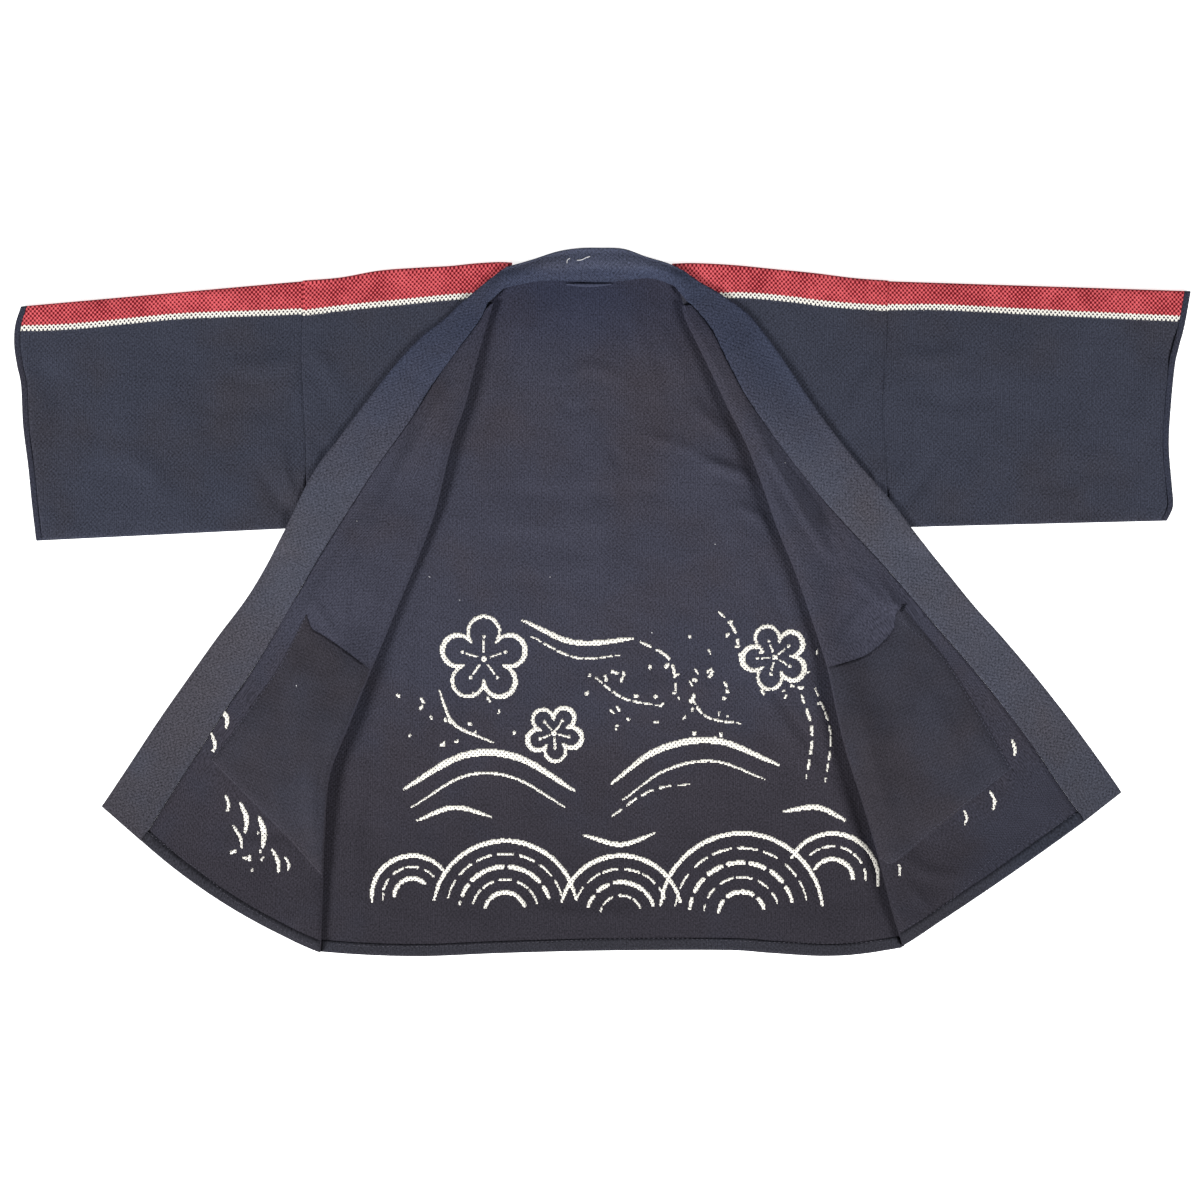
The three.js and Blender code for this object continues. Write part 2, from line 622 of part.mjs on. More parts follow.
function collarPiece(leftLattice, rightLattice) {
  const stations = [];
  const push = (s, lattice) => {
    const { table } = s;
    const list = [];
    for (let at = 0; at <= table.length - 1 + 1e-9; at += ROW_STEP) {
      const row = lattice.tableRow + Math.round(at / ROW_STEP);
      const end = lattice.mid[row][lattice.mid[row].length - 1];
      const seam = along(column(table, 'seam'), at);
      const edge = along(column(table, 'edge'), at);
      const width = Math.hypot(edge[0] - seam[0], edge[1] - seam[1]);
      const start = mixPoint(seam, edge, COLLAR_GAP / width);
      const lift = Math.max(0, end.z - CLOTH / 2 - LOOSE_GAP - bed(s, end.x, end.y));
      const points = [];
      for (let k = 0; k <= BAND_CELLS; k += 1) {
        const u = k / BAND_CELLS;
        const [x, y] = mixPoint(start, edge, u);
        points.push(vec(x, y, bed(s, x, y) + LOOSE_GAP + BAND / 2 + lift * (1 - ease(u))));
      }
      list.push(points);
    }
    return list;
  };
  stations.push(...push(SIDES.left, leftLattice).reverse());
  for (let at = 0; at <= NAPE.length - 1 + 1e-9; at += 0.5) {
    const seam = along(column(NAPE, 'seam'), at);
    const edge = along(column(NAPE, 'edge'), at);
    const low = along(column(NAPE, 'low'), at);
    const high = along(column(NAPE, 'high'), at);
    const arch = along(column(NAPE, 'arch'), at);
    const points = [];
    for (let k = 0; k <= BAND_CELLS; k += 1) {
      const u = k / BAND_CELLS;
      const [x, y] = mixPoint(seam, edge, u);
      points.push(vec(x, y, mix(low, high, u) + BAND / 2 + arch * Math.sin(Math.PI * u)));
    }
    stations.push(points);
  }
  stations.push(...push(SIDES.right, rightLattice));
  const normal = normals(stations);
  return solid('collar', BAND_BLUE, offset(stations, normal, BAND / 2), offset(stations, normal, -BAND / 2));
}

// Flattened hanging loop below the nape seam
const LOOP = { x0: -39, x1: 10, y: 341.6, width: 4, thick: 1.2, rise: 1.4, cells: 10 };

function hangerLoop() {
  const rows = [];
  for (let i = 0; i <= LOOP.cells; i += 1) {
    const t = i / LOOP.cells;
    const x = mix(LOOP.x0, LOOP.x1, t);
    const z = CLOTH + SEAM_GAP + LOOP.rise * Math.sin(Math.PI * t);
    rows.push([vec(x, LOOP.y - LOOP.width / 2, z), vec(x, LOOP.y + LOOP.width / 2, z)]);
  }
  const raised = rows.map((row) => row.map((p) => vec(p.x, p.y, p.z + LOOP.thick)));
  return solid('hanger_loop', BINDING, raised, rows);
}

const left = frontPieces('left');
const right = frontPieces('right');
const jacket = new THREE.Group();
jacket.name = 'hanten';
jacket.add(
  ...backPieces(), ...left.meshes, ...right.meshes, ...sleevePieces('left'), ...sleevePieces('right'),
  collarPiece(left.lattice, right.lattice), hangerLoop(),
);

export default jacket;
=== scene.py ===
import bpy
import numpy as np
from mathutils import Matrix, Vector
from mathutils.bvhtree import BVHTree


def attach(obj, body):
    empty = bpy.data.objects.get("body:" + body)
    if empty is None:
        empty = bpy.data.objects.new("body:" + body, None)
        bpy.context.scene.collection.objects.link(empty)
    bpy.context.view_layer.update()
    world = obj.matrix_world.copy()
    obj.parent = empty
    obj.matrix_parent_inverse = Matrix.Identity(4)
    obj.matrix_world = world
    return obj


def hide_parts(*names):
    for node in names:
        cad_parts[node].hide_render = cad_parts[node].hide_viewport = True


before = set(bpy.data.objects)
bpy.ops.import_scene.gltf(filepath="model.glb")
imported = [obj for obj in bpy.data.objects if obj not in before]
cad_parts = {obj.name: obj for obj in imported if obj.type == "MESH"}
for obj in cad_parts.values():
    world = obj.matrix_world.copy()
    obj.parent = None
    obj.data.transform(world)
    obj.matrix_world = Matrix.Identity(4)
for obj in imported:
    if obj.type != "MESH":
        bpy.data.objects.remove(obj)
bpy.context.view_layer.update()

# ---------------------------------------------------------------------------------------------------
# Back panel: the largest cloth of the jacket, one layer of coarse dotted cotton lying on the table.
# Its inside shows between the turned-out fronts. Soft ridges run down from the neck and to the hem.
CLOTH = 0.0016
SEAM_GAP = 0.00035
SHOULDER_ROLL = 0.00185
LOW_Z = CLOTH * 1.5 + SEAM_GAP
BACK_STEP = 0.004
BACK_RUMPLE = 0.0011
BACK_LIFT = 0.0022
BACK_WIDTH = 0.65
BACK_LENGTH = 0.74

SIDE_SEAM_LEFT = [
    (-0.323, 0.334), (-0.323, 0.3105), (-0.3245, 0.2857), (-0.3245, 0.25), (-0.3224, 0.209),
    (-0.3202, 0.168), (-0.3202, 0.101), (-0.3213, 0.0535), (-0.3202, -0.007), (-0.318, -0.0718),
    (-0.316, -0.1334), (-0.314, -0.1874), (-0.3127, -0.2468), (-0.3127, -0.2997), (-0.3127, -0.365),
    (-0.3092, -0.3765),
]
SIDE_SEAM_RIGHT = [
    (0.3085, 0.3353), (0.3073, 0.304), (0.3062, 0.277), (0.304, 0.2457), (0.3019, 0.209),
    (0.3051, 0.168), (0.3073, 0.1258), (0.3083, 0.0772), (0.3094, 0.0297), (0.3105, -0.02),
    (0.3116, -0.0707), (0.3127, -0.1172), (0.3159, -0.1625), (0.3191, -0.2165), (0.3224, -0.2792),
    (0.3267, -0.33), (0.33, -0.358), (0.325, -0.37),
]
SHOULDER_LEFT = [
    (-0.3232, 0.3456), (-0.2835, 0.3488), (-0.2403, 0.3564), (-0.1971, 0.3596), (-0.1647, 0.3613),
    (-0.1388, 0.364), (-0.112, 0.3656), (-0.0975, 0.365),
]
SHOULDER_RIGHT = [
    (0.3085, 0.3456), (0.2716, 0.3483), (0.2284, 0.3537), (0.1852, 0.358), (0.142, 0.3623),
    (0.0988, 0.3645), (0.075, 0.3638),
]
NECKLINE = [
    (-0.1226, 0.3224), (-0.107, 0.337), (-0.0783, 0.3461), (-0.0502, 0.3483), (-0.0243, 0.3467),
    (-0.0005, 0.3461), (0.0243, 0.3483), (0.0491, 0.3505), (0.068, 0.346), (0.078, 0.339),
    (0.0902, 0.3245),
]
NECK_CORNERS = (-0.113, 0.081)
BACK_HEM = [
    (-0.3127, -0.3775), (-0.268, -0.381), (-0.225, -0.3828), (-0.182, -0.3828), (-0.117, -0.38),
    (-0.03, -0.3776), (0.055, -0.3765), (0.142, -0.3766), (0.185, -0.3796), (0.24, -0.3828),
    (0.28, -0.3806), (0.331, -0.3725),
]


def rows_of(columns, rows):
    """The rows of a table as dictionaries, with their values named by the columns."""
    return [dict(zip(columns.split(), row)) for row in rows]


# The fronts lie on the back up to their folds. One row per level from neck to hem: the fold, the collar
# seam, the radius of the roll, and the bow of the flap to the hem.
FRONT_LEFT = rows_of("fold seam roll bow", [
    ((-0.115, 0.334), (-0.1226, 0.3224), 0.0016, 0),
    ((-0.1215, 0.3105), (-0.1312, 0.304), 0.002, 0),
    ((-0.129, 0.2857), (-0.1431, 0.2878), 0.003, 0),
    ((-0.1388, 0.25), (-0.1604, 0.2651), 0.0042, 0),
    ((-0.1496, 0.209), (-0.1835, 0.2327), 0.005, 0),
    ((-0.1636, 0.168), (-0.2057, 0.1975), 0.0052, 0),
    ((-0.1798, 0.101), (-0.2435, 0.1453), 0.004, 0),
    ((-0.197, 0.0535), (-0.27, 0.1042), 0.0034, 0),
    ((-0.222, -0.007), (-0.304, 0.0502), 0.0034, 0),
    ((-0.249, -0.0718), (-0.3386, -0.0092), 0.005, 0.002),
    ((-0.2738, -0.1334), (-0.372, -0.065), 0.0064, 0.003),
    ((-0.2943, -0.1874), (-0.4034, -0.1118), 0.0056, 0.004),
    ((-0.2997, -0.2468), (-0.4315, -0.155), 0.0036, 0.006),
    ((-0.3019, -0.2997), (-0.4558, -0.1928), 0.0024, 0.008),
    ((-0.304, -0.3656), (-0.4898, -0.2468), 0.0014, 0.01),
    ((-0.305, -0.3785), (-0.4973, -0.2587), 0.001, 0.01),
])
FRONT_RIGHT = rows_of("fold seam roll bow", [
    ((0.0815, 0.3353), (0.0902, 0.3245), 0.0016, 0),
    ((0.0902, 0.304), (0.102, 0.3127), 0.0026, 0),
    ((0.1031, 0.277), (0.1193, 0.289), 0.0038, 0),
    ((0.1183, 0.2457), (0.1345, 0.2576), 0.0052, 0),
    ((0.1355, 0.209), (0.1533, 0.222), 0.0062, 0),
    ((0.156, 0.168), (0.1787, 0.1846), 0.0068, 0),
    ((0.1723, 0.1258), (0.205, 0.1496), 0.007, 0),
    ((0.1895, 0.0772), (0.2364, 0.1113), 0.0062, 0),
    ((0.209, 0.0297), (0.2702, 0.0743), 0.0048, 0),
    ((0.2263, -0.02), (0.3048, 0.0373), 0.0042, 0),
    ((0.2425, -0.0707), (0.338, -0.001), 0.005, 0),
    ((0.2522, -0.1172), (0.3664, -0.034), 0.0062, 0),
    ((0.263, -0.1625), (0.3946, -0.0664), 0.0068, 0),
    ((0.2803, -0.2165), (0.4288, -0.1085), 0.0064, 0),
    ((0.2986, -0.2792), (0.465, -0.157), 0.0052, 0.002),
    ((0.3116, -0.33), (0.4926, -0.1982), 0.0036, 0.002),
    ((0.3202, -0.358), (0.5125, -0.2263), 0.0018, 0.002),
    ((0.3245, -0.371), (0.519, -0.238), 0.001, 0.002),
])

# Ridges (rise above zero) and troughs (below) of the back: a curved line, half its width, its height.
BACK_RIDGES = rows_of("line half rise", [
    ([(-0.112, 0.25), (-0.131, 0.145), (-0.15, 0.04)], 0.026, 0.0016),
    ([(0.095, 0.215), (0.1225, 0.1375), (0.15, 0.06)], 0.026, 0.002),
    ([(0.15, -0.03), (0.193, -0.1175), (0.236, -0.205)], 0.024, 0.0022),
    ([(-0.168, -0.095), (-0.175, -0.1725), (-0.182, -0.25)], 0.022, 0.0016),
    ([(0.06, 0.25), (0.05, 0.185), (0.04, 0.12)], 0.024, 0.0012),
])
BACK_CREASES = rows_of("line half rise", [
    ([(0.142, -0.036), (0.19, -0.105), (0.25, -0.19)], 0.01, -0.0025),
    ([(0.158, -0.01), (0.205, -0.075), (0.262, -0.16)], 0.016, 0.002),
    ([(0.094, 0.218), (0.121, 0.191), (0.151, 0.166)], 0.012, 0.0026),
    ([(0.105, 0.151), (0.143, 0.14), (0.172, 0.124)], 0.01, 0.0038),
    ([(0.143, 0.106), (0.172, 0.088), (0.194, 0.058)], 0.01, 0.0035),
    ([(0.196, 0.02), (0.214, -0.03), (0.228, -0.07)], 0.012, 0.0023),
    ([(-0.172, -0.106), (-0.178, -0.16), (-0.178, -0.221)], 0.009, -0.002),
    ([(-0.156, -0.1), (-0.162, -0.165), (-0.16, -0.24)], 0.012, 0.0017),
    ([(-0.06, 0.318), (-0.085, 0.262), (-0.098, 0.19)], 0.013, 0.002),
    ([(-0.02, 0.322), (-0.03, 0.28), (-0.046, 0.205)], 0.012, -0.0014),
    ([(0.03, 0.32), (0.044, 0.275), (0.066, 0.2)], 0.012, 0.0017),
    ([(0.062, 0.312), (0.092, 0.262), (0.112, 0.2)], 0.01, -0.0017),
    ([(-0.092, 0.296), (-0.11, 0.232), (-0.122, 0.152)], 0.009, -0.0016),
    ([(-0.046, 0.236), (-0.014, 0.252), (0.026, 0.24)], 0.012, 0.0014),
    ([(-0.05, 0.222), (-0.03, 0.206), (-0.004, 0.214)], 0.009, -0.0012),
    ([(0.004, 0.178), (0.018, 0.148), (0.022, 0.118)], 0.009, -0.0016),
    ([(0.04, 0.182), (0.092, 0.164), (0.138, 0.14)], 0.01, 0.0017),
    ([(-0.12, 0.122), (-0.04, 0.114), (0.08, 0.12)], 0.018, -0.0013),
    ([(-0.136, 0.092), (-0.06, 0.082), (0.03, 0.09)], 0.02, 0.0012),
    ([(0.168, 0.052), (0.19, 0.0), (0.206, -0.05)], 0.012, -0.0017),
    ([(-0.205, 0.01), (-0.23, -0.05), (-0.238, -0.11)], 0.012, -0.0017),
    ([(-0.186, 0.016), (-0.208, -0.052), (-0.214, -0.13)], 0.012, 0.002),
    ([(-0.12, 0.05), (-0.06, 0.036), (0.01, 0.042)], 0.02, 0.0012),
    ([(-0.04, -0.09), (0.04, -0.1), (0.11, -0.086)], 0.022, 0.0012),
    ([(-0.256, -0.17), (-0.266, -0.25), (-0.272, -0.34)], 0.013, 0.0029),
    ([(-0.24, -0.24), (-0.248, -0.3), (-0.25, -0.35)], 0.01, -0.0014),
    ([(0.246, -0.186), (0.268, -0.25), (0.289, -0.32)], 0.012, 0.0041),
    ([(0.225, -0.25), (0.24, -0.3), (0.246, -0.345)], 0.012, -0.0014),
    ([(-0.1, -0.33), (-0.02, -0.338), (0.06, -0.332)], 0.014, 0.0012),
])


def mix(a, b, t):
    return a + (b - a) * t


def ease(t):
    return (1 - np.cos(np.pi * np.clip(t, 0, 1))) / 2


def along(points, at):
    """Smooth curve through a list of numbers or points, read at fractional places of the list."""
    known = np.asarray(points, float)
    known = np.concatenate([[2 * known[0] - known[1]], known, [2 * known[-1] - known[-2]]])
    at = np.asarray(at, float)
    first = np.clip(np.floor(at).astype(int), 0, len(known) - 4)
    t = at - first
    if known.ndim == 2:
        t = t[..., None]
    a, b, c, d = (known[first + k] for k in range(4))
    second = 2 * a - 5 * b + 4 * c - d
    third = 3 * b - a - 3 * c + d
    return 0.5 * (2 * b + (c - a) * t + second * t**2 + third * t**3)


def crossing(points, value, given=0):
    """The other coordinate of a curve where the given one has this value."""
    fine = along(points, np.linspace(0, len(points) - 1, 600))
    order = np.argsort(fine[:, given])
    return np.interp(value, fine[order, given], fine[order, 1 - given])


def creases(rows, x, y):
    """Height of soft ridges and troughs along short curved lines, fading at both ends."""
    height = np.zeros(x.shape)
    for row in rows:
        line = along(row["line"], np.linspace(0, len(row["line"]) - 1, 25))
        low = line.min(axis=0) - row["half"]
        high = line.max(axis=0) + row["half"]
        near = (x > low[0]) & (x < high[0]) & (y > low[1]) & (y < high[1])
        px = x[near]
        py = y[near]
        nearest = np.full(px.shape, row["half"])
        share = np.zeros(px.shape)
        for k in range(len(line) - 1):
            ax, ay = line[k]
            dx, dy = line[k + 1] - line[k]
            t = np.clip(((px - ax) * dx + (py - ay) * dy) / (dx * dx + dy * dy), 0, 1)
            distance = np.hypot(px - ax - dx * t, py - ay - dy * t)
            closer = distance < nearest
            nearest[closer] = distance[closer]
            share[closer] = (k + t[closer]) / (len(line) - 1)
        height[near] += row["rise"] * np.sin(np.pi * share) ** 0.6 * (1 - ease(nearest / row["half"]))
    return height


def rumple(x, y, size):
    """Uneven waves of cloth that has been folded and worn, long ones high and short ones low."""
    waves = np.sin(41 * x + 13 * y + 0.6) + 0.8 * np.sin(17 * x - 53 * y + 2.1)
    waves += 0.5 * np.sin(87 * x + 61 * y + 4.0) + 0.4 * np.sin(-103 * x + 79 * y + 1.3)
    waves += 0.3 * np.sin(196 * x - 52 * y + 2.5 * np.sin(23 * y))
    waves += 0.2 * np.sin(70 * x + 262 * y + 2 * np.sin(31 * x))
    return size * waves / 2


def in_scene(name, data):
    made = bpy.data.objects.new(name, data)
    bpy.context.scene.collection.objects.link(made)
    return made


def shell(name, over, under, cloth_uv, keep=None, ring=False, stripe=None):
    """A closed thin piece between two lattices of points; ring joins the last column to the first."""
    rows, cols = over.shape[:2]
    cells = keep
    if cells is None:
        cells = np.ones((rows - 1, cols if ring else cols - 1), bool)
    i, j = np.nonzero(cells)

    def corner(di, dj, layer, at=slice(None)):
        return layer * rows * cols + (i[at] + di) * cols + (j[at] + dj) % cols

    quads = [
        np.stack([corner(0, 0, 0), corner(0, 1, 0), corner(1, 1, 0), corner(1, 0, 0)], 1),
        np.stack([corner(0, 0, 1), corner(1, 0, 1), corner(1, 1, 1), corner(0, 1, 1)], 1),
    ]
    walls = [
        (-1, 0, (0, 0), (0, 1)),
        (1, 0, (1, 1), (1, 0)),
        (0, -1, (1, 0), (0, 0)),
        (0, 1, (0, 1), (1, 1)),
    ]
    for di, dj, a, b in walls:
        ni = i + di
        nj = (j + dj) % cells.shape[1] if ring else j + dj
        inside = (ni >= 0) & (ni < cells.shape[0]) & (nj >= 0) & (nj < cells.shape[1])
        rim = ~inside
        rim[inside] = ~cells[ni[inside], nj[inside]]
        wall = [corner(*a, 0, rim), corner(*a, 1, rim), corner(*b, 1, rim), corner(*b, 0, rim)]
        quads.append(np.stack(wall, 1))
    count = [len(q) for q in quads]
    faces = np.concatenate(quads)
    used, faces = np.unique(faces, return_inverse=True)
    faces = faces.reshape(-1, 4)
    points = np.concatenate([over.reshape(-1, 3), under.reshape(-1, 3)])[used]
    uv = np.tile(cloth_uv.reshape(-1, 2), (2, 1))[used]
    a, b, c, d = (points[faces[:, k]] for k in range(4))
    if np.einsum("ij,ij->", a, np.cross(b, c) + np.cross(c, d)) < 0:
        faces = faces[:, ::-1]
    mesh = bpy.data.meshes.new(name)
    mesh.from_pydata(points.tolist(), [], faces.tolist())
    layer = mesh.uv_layers.new(name="cloth")
    layer.data.foreach_set("uv", uv[faces.reshape(-1)].reshape(-1))
    if stripe is not None:
        band = mesh.attributes.new("stripe", "FLOAT", "POINT")
        band.data.foreach_set("value", np.tile(stripe.reshape(-1), 2)[used])
    which = np.repeat([0, 1, 0], [count[0], count[1], sum(count[2:])])
    mesh.polygons.foreach_set("material_index", which.astype(np.int32))
    soft = np.repeat([True, False], [count[0] + count[1], sum(count[2:])])
    mesh.polygons.foreach_set("use_smooth", soft)
    mesh.update()
    return in_scene(name, mesh)


def new_finish(name, roughness, specular=0.5):
    """A material with its node tree and its shader, ready for a colour."""
    material = bpy.data.materials.new(name)
    material.use_nodes = True
    shader = material.node_tree.nodes["Principled BSDF"]
    shader.inputs["Roughness"].default_value = roughness
    shader.inputs["Specular IOR Level"].default_value = specular
    return material, material.node_tree, shader


def finish_piece(piece, materials, node=None):
    """Gives a piece its finishes and its body, and hides the solid of model.glb that it stands for."""
    for material in materials:
        piece.data.materials.append(material)
    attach(piece, "root")
    if node:
        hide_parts(node)
    return piece


def place(tree, kind, *inputs, **settings):
    """A node with its settings, and its inputs given in order as numbers or as links."""
    made = tree.nodes.new(kind)
    for key, value in settings.items():
        setattr(made, key, value)
    for socket, value in zip(made.inputs, inputs):
        if isinstance(value, bpy.types.NodeSocket):
            tree.links.new(value, socket)
        elif value is not None:
            socket.default_value = value
    return made


def maths(tree, operation, a, b=0.0, c=0.0):
    return place(tree, "ShaderNodeMath", a, b, c, operation=operation).outputs[0]


def blend(tree, factor, first, second, how="MIX"):
    """Mix of two colours, each a link or three numbers."""
    node = tree.nodes.new("ShaderNodeMix")
    node.data_type = "RGBA"
    node.blend_type = how
    for socket, value in zip((node.inputs[0], node.inputs[6], node.inputs[7]), (factor, first, second)):
        if isinstance(value, bpy.types.NodeSocket):
            tree.links.new(value, socket)
        else:
            socket.default_value = value if isinstance(value, float) else (*value, 1.0)
    return node.outputs[2]


def ramp(tree, value, start, end):
    """0 at start to 1 at end, with soft ends."""
    return place(tree, "ShaderNodeMapRange", value, start, end, interpolation_type="SMOOTHSTEP").outputs[0]


def tone(red, green, blue):
    """A screen colour of 0 to 255 as the shader's own linear numbers."""
    values = np.array([red, green, blue]) / 255
    return tuple(np.where(values > 0.04045, ((values + 0.055) / 1.055) ** 2.4, values / 12.92).tolist())


WARM = (1.04, 0.985, 0.96)
COOL = (0.950, 1.005, 1.085)
KNOT_ACROSS = 0.0045
KNOT_DOWN = 0.0050
RIB = 0.0024
STRIPE_WHITE = 0.0058
CREAM = tone(224, 221, 212)
DOT = tone(52, 47, 55)
RED_KNOT = tone(208, 90, 96)
RED_DARK = tone(94, 12, 22)


def weave(tree):
    """The cloth's own place and its dots: +1 on every second crossing of the coarse threads, -1 between."""
    uv = place(tree, "ShaderNodeUVMap", uv_map="cloth").outputs[0]
    wobble = place(tree, "ShaderNodeTexNoise", uv, None, 260.0, 1.0, noise_dimensions="2D").outputs[1]
    moved = place(tree, "ShaderNodeVectorMath", wobble, (0.5, 0.5, 0.5), operation="SUBTRACT").outputs[0]
    moved = place(tree, "ShaderNodeVectorMath", moved, None, None, 0.0011, operation="SCALE").outputs[0]
    spot = place(tree, "ShaderNodeVectorMath", uv, moved, operation="ADD").outputs[0]
    split = place(tree, "ShaderNodeSeparateXYZ", spot)
    across = maths(tree, "COSINE", maths(tree, "MULTIPLY", split.outputs[0], 2 * np.pi / KNOT_ACROSS))
    down = maths(tree, "COSINE", maths(tree, "MULTIPLY", split.outputs[1], 2 * np.pi / KNOT_DOWN))
    return uv, split, maths(tree, "MULTIPLY", across, down)


def fabric(
    name, base, knot=0.11, rib=0.15, grain=2.0, striped=False, twill=False,
    hem=0.0, neck=0.0, below=0.24, crest_highlight=0.0,
):
    """Thick cotton: knots and fine ribs that stand out by a tone, slow patches of wear and a soft relief.

    hem darkens the cloth toward the hem. neck paints shade on it toward the neck, from the height below on,
    bluer as it darkens, and crest paints a highlight that pales it behind the neck. The cast turns browner
    toward the hem, away from the right flap.
    """
    material, tree, shader = new_finish(name, 0.94, 0.10)
    uv, split, dots = weave(tree)
    slow, patches, fine = (
        place(tree, "ShaderNodeTexNoise", uv, None, scale, detail, rough, noise_dimensions="2D").outputs[0]
        for scale, detail, rough in ((7.0, 3.0, 0.6), (34.0, 2.0, 0.6), (480.0, 2.0, 0.8))
    )
    side = maths(tree, "ADD", split.outputs[0], split.outputs[1]) if twill else split.outputs[0]
    ribs = maths(tree, "SINE", maths(tree, "MULTIPLY", side, 2 * np.pi / RIB))
    ribbed = ramp(tree, patches, 0.36, 0.60)
    dotted = maths(tree, "SUBTRACT", 1.35, ribbed)
    light = maths(tree, "MULTIPLY_ADD", maths(tree, "MULTIPLY", dots, dotted), knot, 1.0)
    light = maths(tree, "MULTIPLY_ADD", maths(tree, "MULTIPLY", ribs, ribbed), rib, light)
    for noise, share in ((fine, grain), (slow, 0.24), (patches, 0.12)):
        light = maths(tree, "MULTIPLY_ADD", maths(tree, "SUBTRACT", noise, 0.5), share, light)
    where = place(tree, "ShaderNodeTexCoord").outputs["Object"]
    spots = place(tree, "ShaderNodeSeparateXYZ", where)
    level = spots.outputs[1]
    low = ramp(tree, level, 0.02, -0.38)
    browned = maths(tree, "MULTIPLY", low, ramp(tree, spots.outputs[0], 0.44, 0.24))
    # Painted shade toward the neck, bluer as it darkens, and a painted highlight on the collar's crest behind
    # the neck.
    neck_shade = ramp(tree, level, below, 0.34)
    painted_crest_light = ramp(tree, level, 0.352, 0.364)
    for zone, share in ((low, -hem), (neck_shade, -neck), (painted_crest_light, crest_highlight)):
        light = maths(tree, "MULTIPLY", light, maths(tree, "MULTIPLY_ADD", zone, share, 1.0))
    neck_shade_tint = maths(tree, "MULTIPLY_ADD", painted_crest_light, -0.45, neck_shade)
    greener, bluer = (
        maths(tree, "MULTIPLY", light, maths(tree, "MULTIPLY_ADD", neck_shade_tint, share * neck, 1.0))
        for share in (0.3, 1.0)
    )
    shade = place(tree, "ShaderNodeCombineXYZ", light, greener, bluer).outputs[0]
    warm, cool = (tuple(v * k for v, k in zip(base, cast)) for cast in (WARM, COOL))
    hue = maths(tree, "MULTIPLY_ADD", browned, -0.35, slow)
    colour = blend(tree, 1.0, blend(tree, ramp(tree, hue, 0.20, 0.60), warm, cool), shade, "MULTIPLY")
    if striped:
        band = place(tree, "ShaderNodeAttribute", attribute_name="stripe").outputs["Fac"]
        upper = maths(tree, "MULTIPLY_ADD", dots, -0.0009, band)
        lower = maths(tree, "MULTIPLY_ADD", dots, 0.0012, band)
        uneven = maths(tree, "MULTIPLY_ADD", maths(tree, "SUBTRACT", patches, 0.5), 0.9, dots)
        red = blend(tree, ramp(tree, uneven, -0.60, 0.55), RED_KNOT, RED_DARK)
        cream = blend(tree, ramp(tree, dots, 0.00, 0.42), CREAM, DOT)
        colour = blend(tree, ramp(tree, lower, STRIPE_WHITE + 0.0004, STRIPE_WHITE - 0.0004), colour, cream)
        colour = blend(tree, ramp(tree, upper, 0.0004, -0.0004), colour, red)
    tree.links.new(colour, shader.inputs["Base Color"])
    height = maths(tree, "MULTIPLY_ADD", ribs, 0.35, dots)
    bump = place(tree, "ShaderNodeBump")
    bump.inputs["Strength"].default_value = 0.5
    bump.inputs["Distance"].default_value = 0.00025
    tree.links.new(height, bump.inputs["Height"])
    tree.links.new(bump.outputs[0], shader.inputs["Normal"])
    return material


SIDE_TOP = 0.341
SIDE_ENDS = (-0.377, -0.370)


def back_edges(t):
    """The side seams' X at a share of the panel's length."""
    left = crossing([SHOULDER_LEFT[0], *SIDE_SEAM_LEFT], mix(SIDE_TOP, SIDE_ENDS[0], t), 1)
    right = crossing([SHOULDER_RIGHT[0], *SIDE_SEAM_RIGHT], mix(SIDE_TOP, SIDE_ENDS[1], t), 1)
    return left, right


NECK_TUCK = 0.005
CORNER_RUN = 0.009
CORNER_TOPS = (0.3385, 0.3400)


def back_top(x):
    """The panel's upper edge: close under both shoulders, and tucked under the collar between them."""
    in_left = np.clip((x - NECK_CORNERS[0]) / CORNER_RUN, 0, 1)
    in_right = np.clip((NECK_CORNERS[1] - x) / CORNER_RUN, 0, 1)
    inner = np.clip(x, NECK_CORNERS[0] + CORNER_RUN, NECK_CORNERS[1] - CORNER_RUN)
    neck = crossing(NECKLINE, inner) + NECK_TUCK
    inset = 2 * SHOULDER_ROLL - 0.0005
    left = mix(crossing(SHOULDER_LEFT, x) - inset, np.minimum(neck, CORNER_TOPS[0]), in_left)
    right = mix(crossing(SHOULDER_RIGHT, x) - inset, np.minimum(neck, CORNER_TOPS[1]), in_right)
    return np.where(in_right < 1, right, np.where(in_left < 1, left, neck))


back_cols = int(BACK_WIDTH / BACK_STEP)
back_rows = int(BACK_LENGTH / BACK_STEP)
c, t = np.meshgrid(np.linspace(0, 1, back_cols + 1), np.linspace(0, 1, back_rows + 1))
left_x, right_x = back_edges(t)
back_x = mix(left_x, right_x, c)
top_x = mix(SHOULDER_LEFT[0][0], SHOULDER_RIGHT[0][0], c)
foot_x = mix(BACK_HEM[0][0], BACK_HEM[-1][0], c)
back_y = mix(back_top(top_x), crossing(BACK_HEM, foot_x), t)
back_z = creases(BACK_RIDGES, back_x, back_y)
inland = ease(np.minimum.reduce([c, 1 - c, t, 1 - t]) / 0.06)
from_left = back_x - crossing([row["fold"] for row in FRONT_LEFT], back_y, 1)
from_right = crossing([row["fold"] for row in FRONT_RIGHT], back_y, 1) - back_x
bared = ease(np.minimum(from_left, from_right) / 0.030)
worn = creases(BACK_CREASES, back_x, back_y) + rumple(back_x, back_y, BACK_RUMPLE) + BACK_LIFT
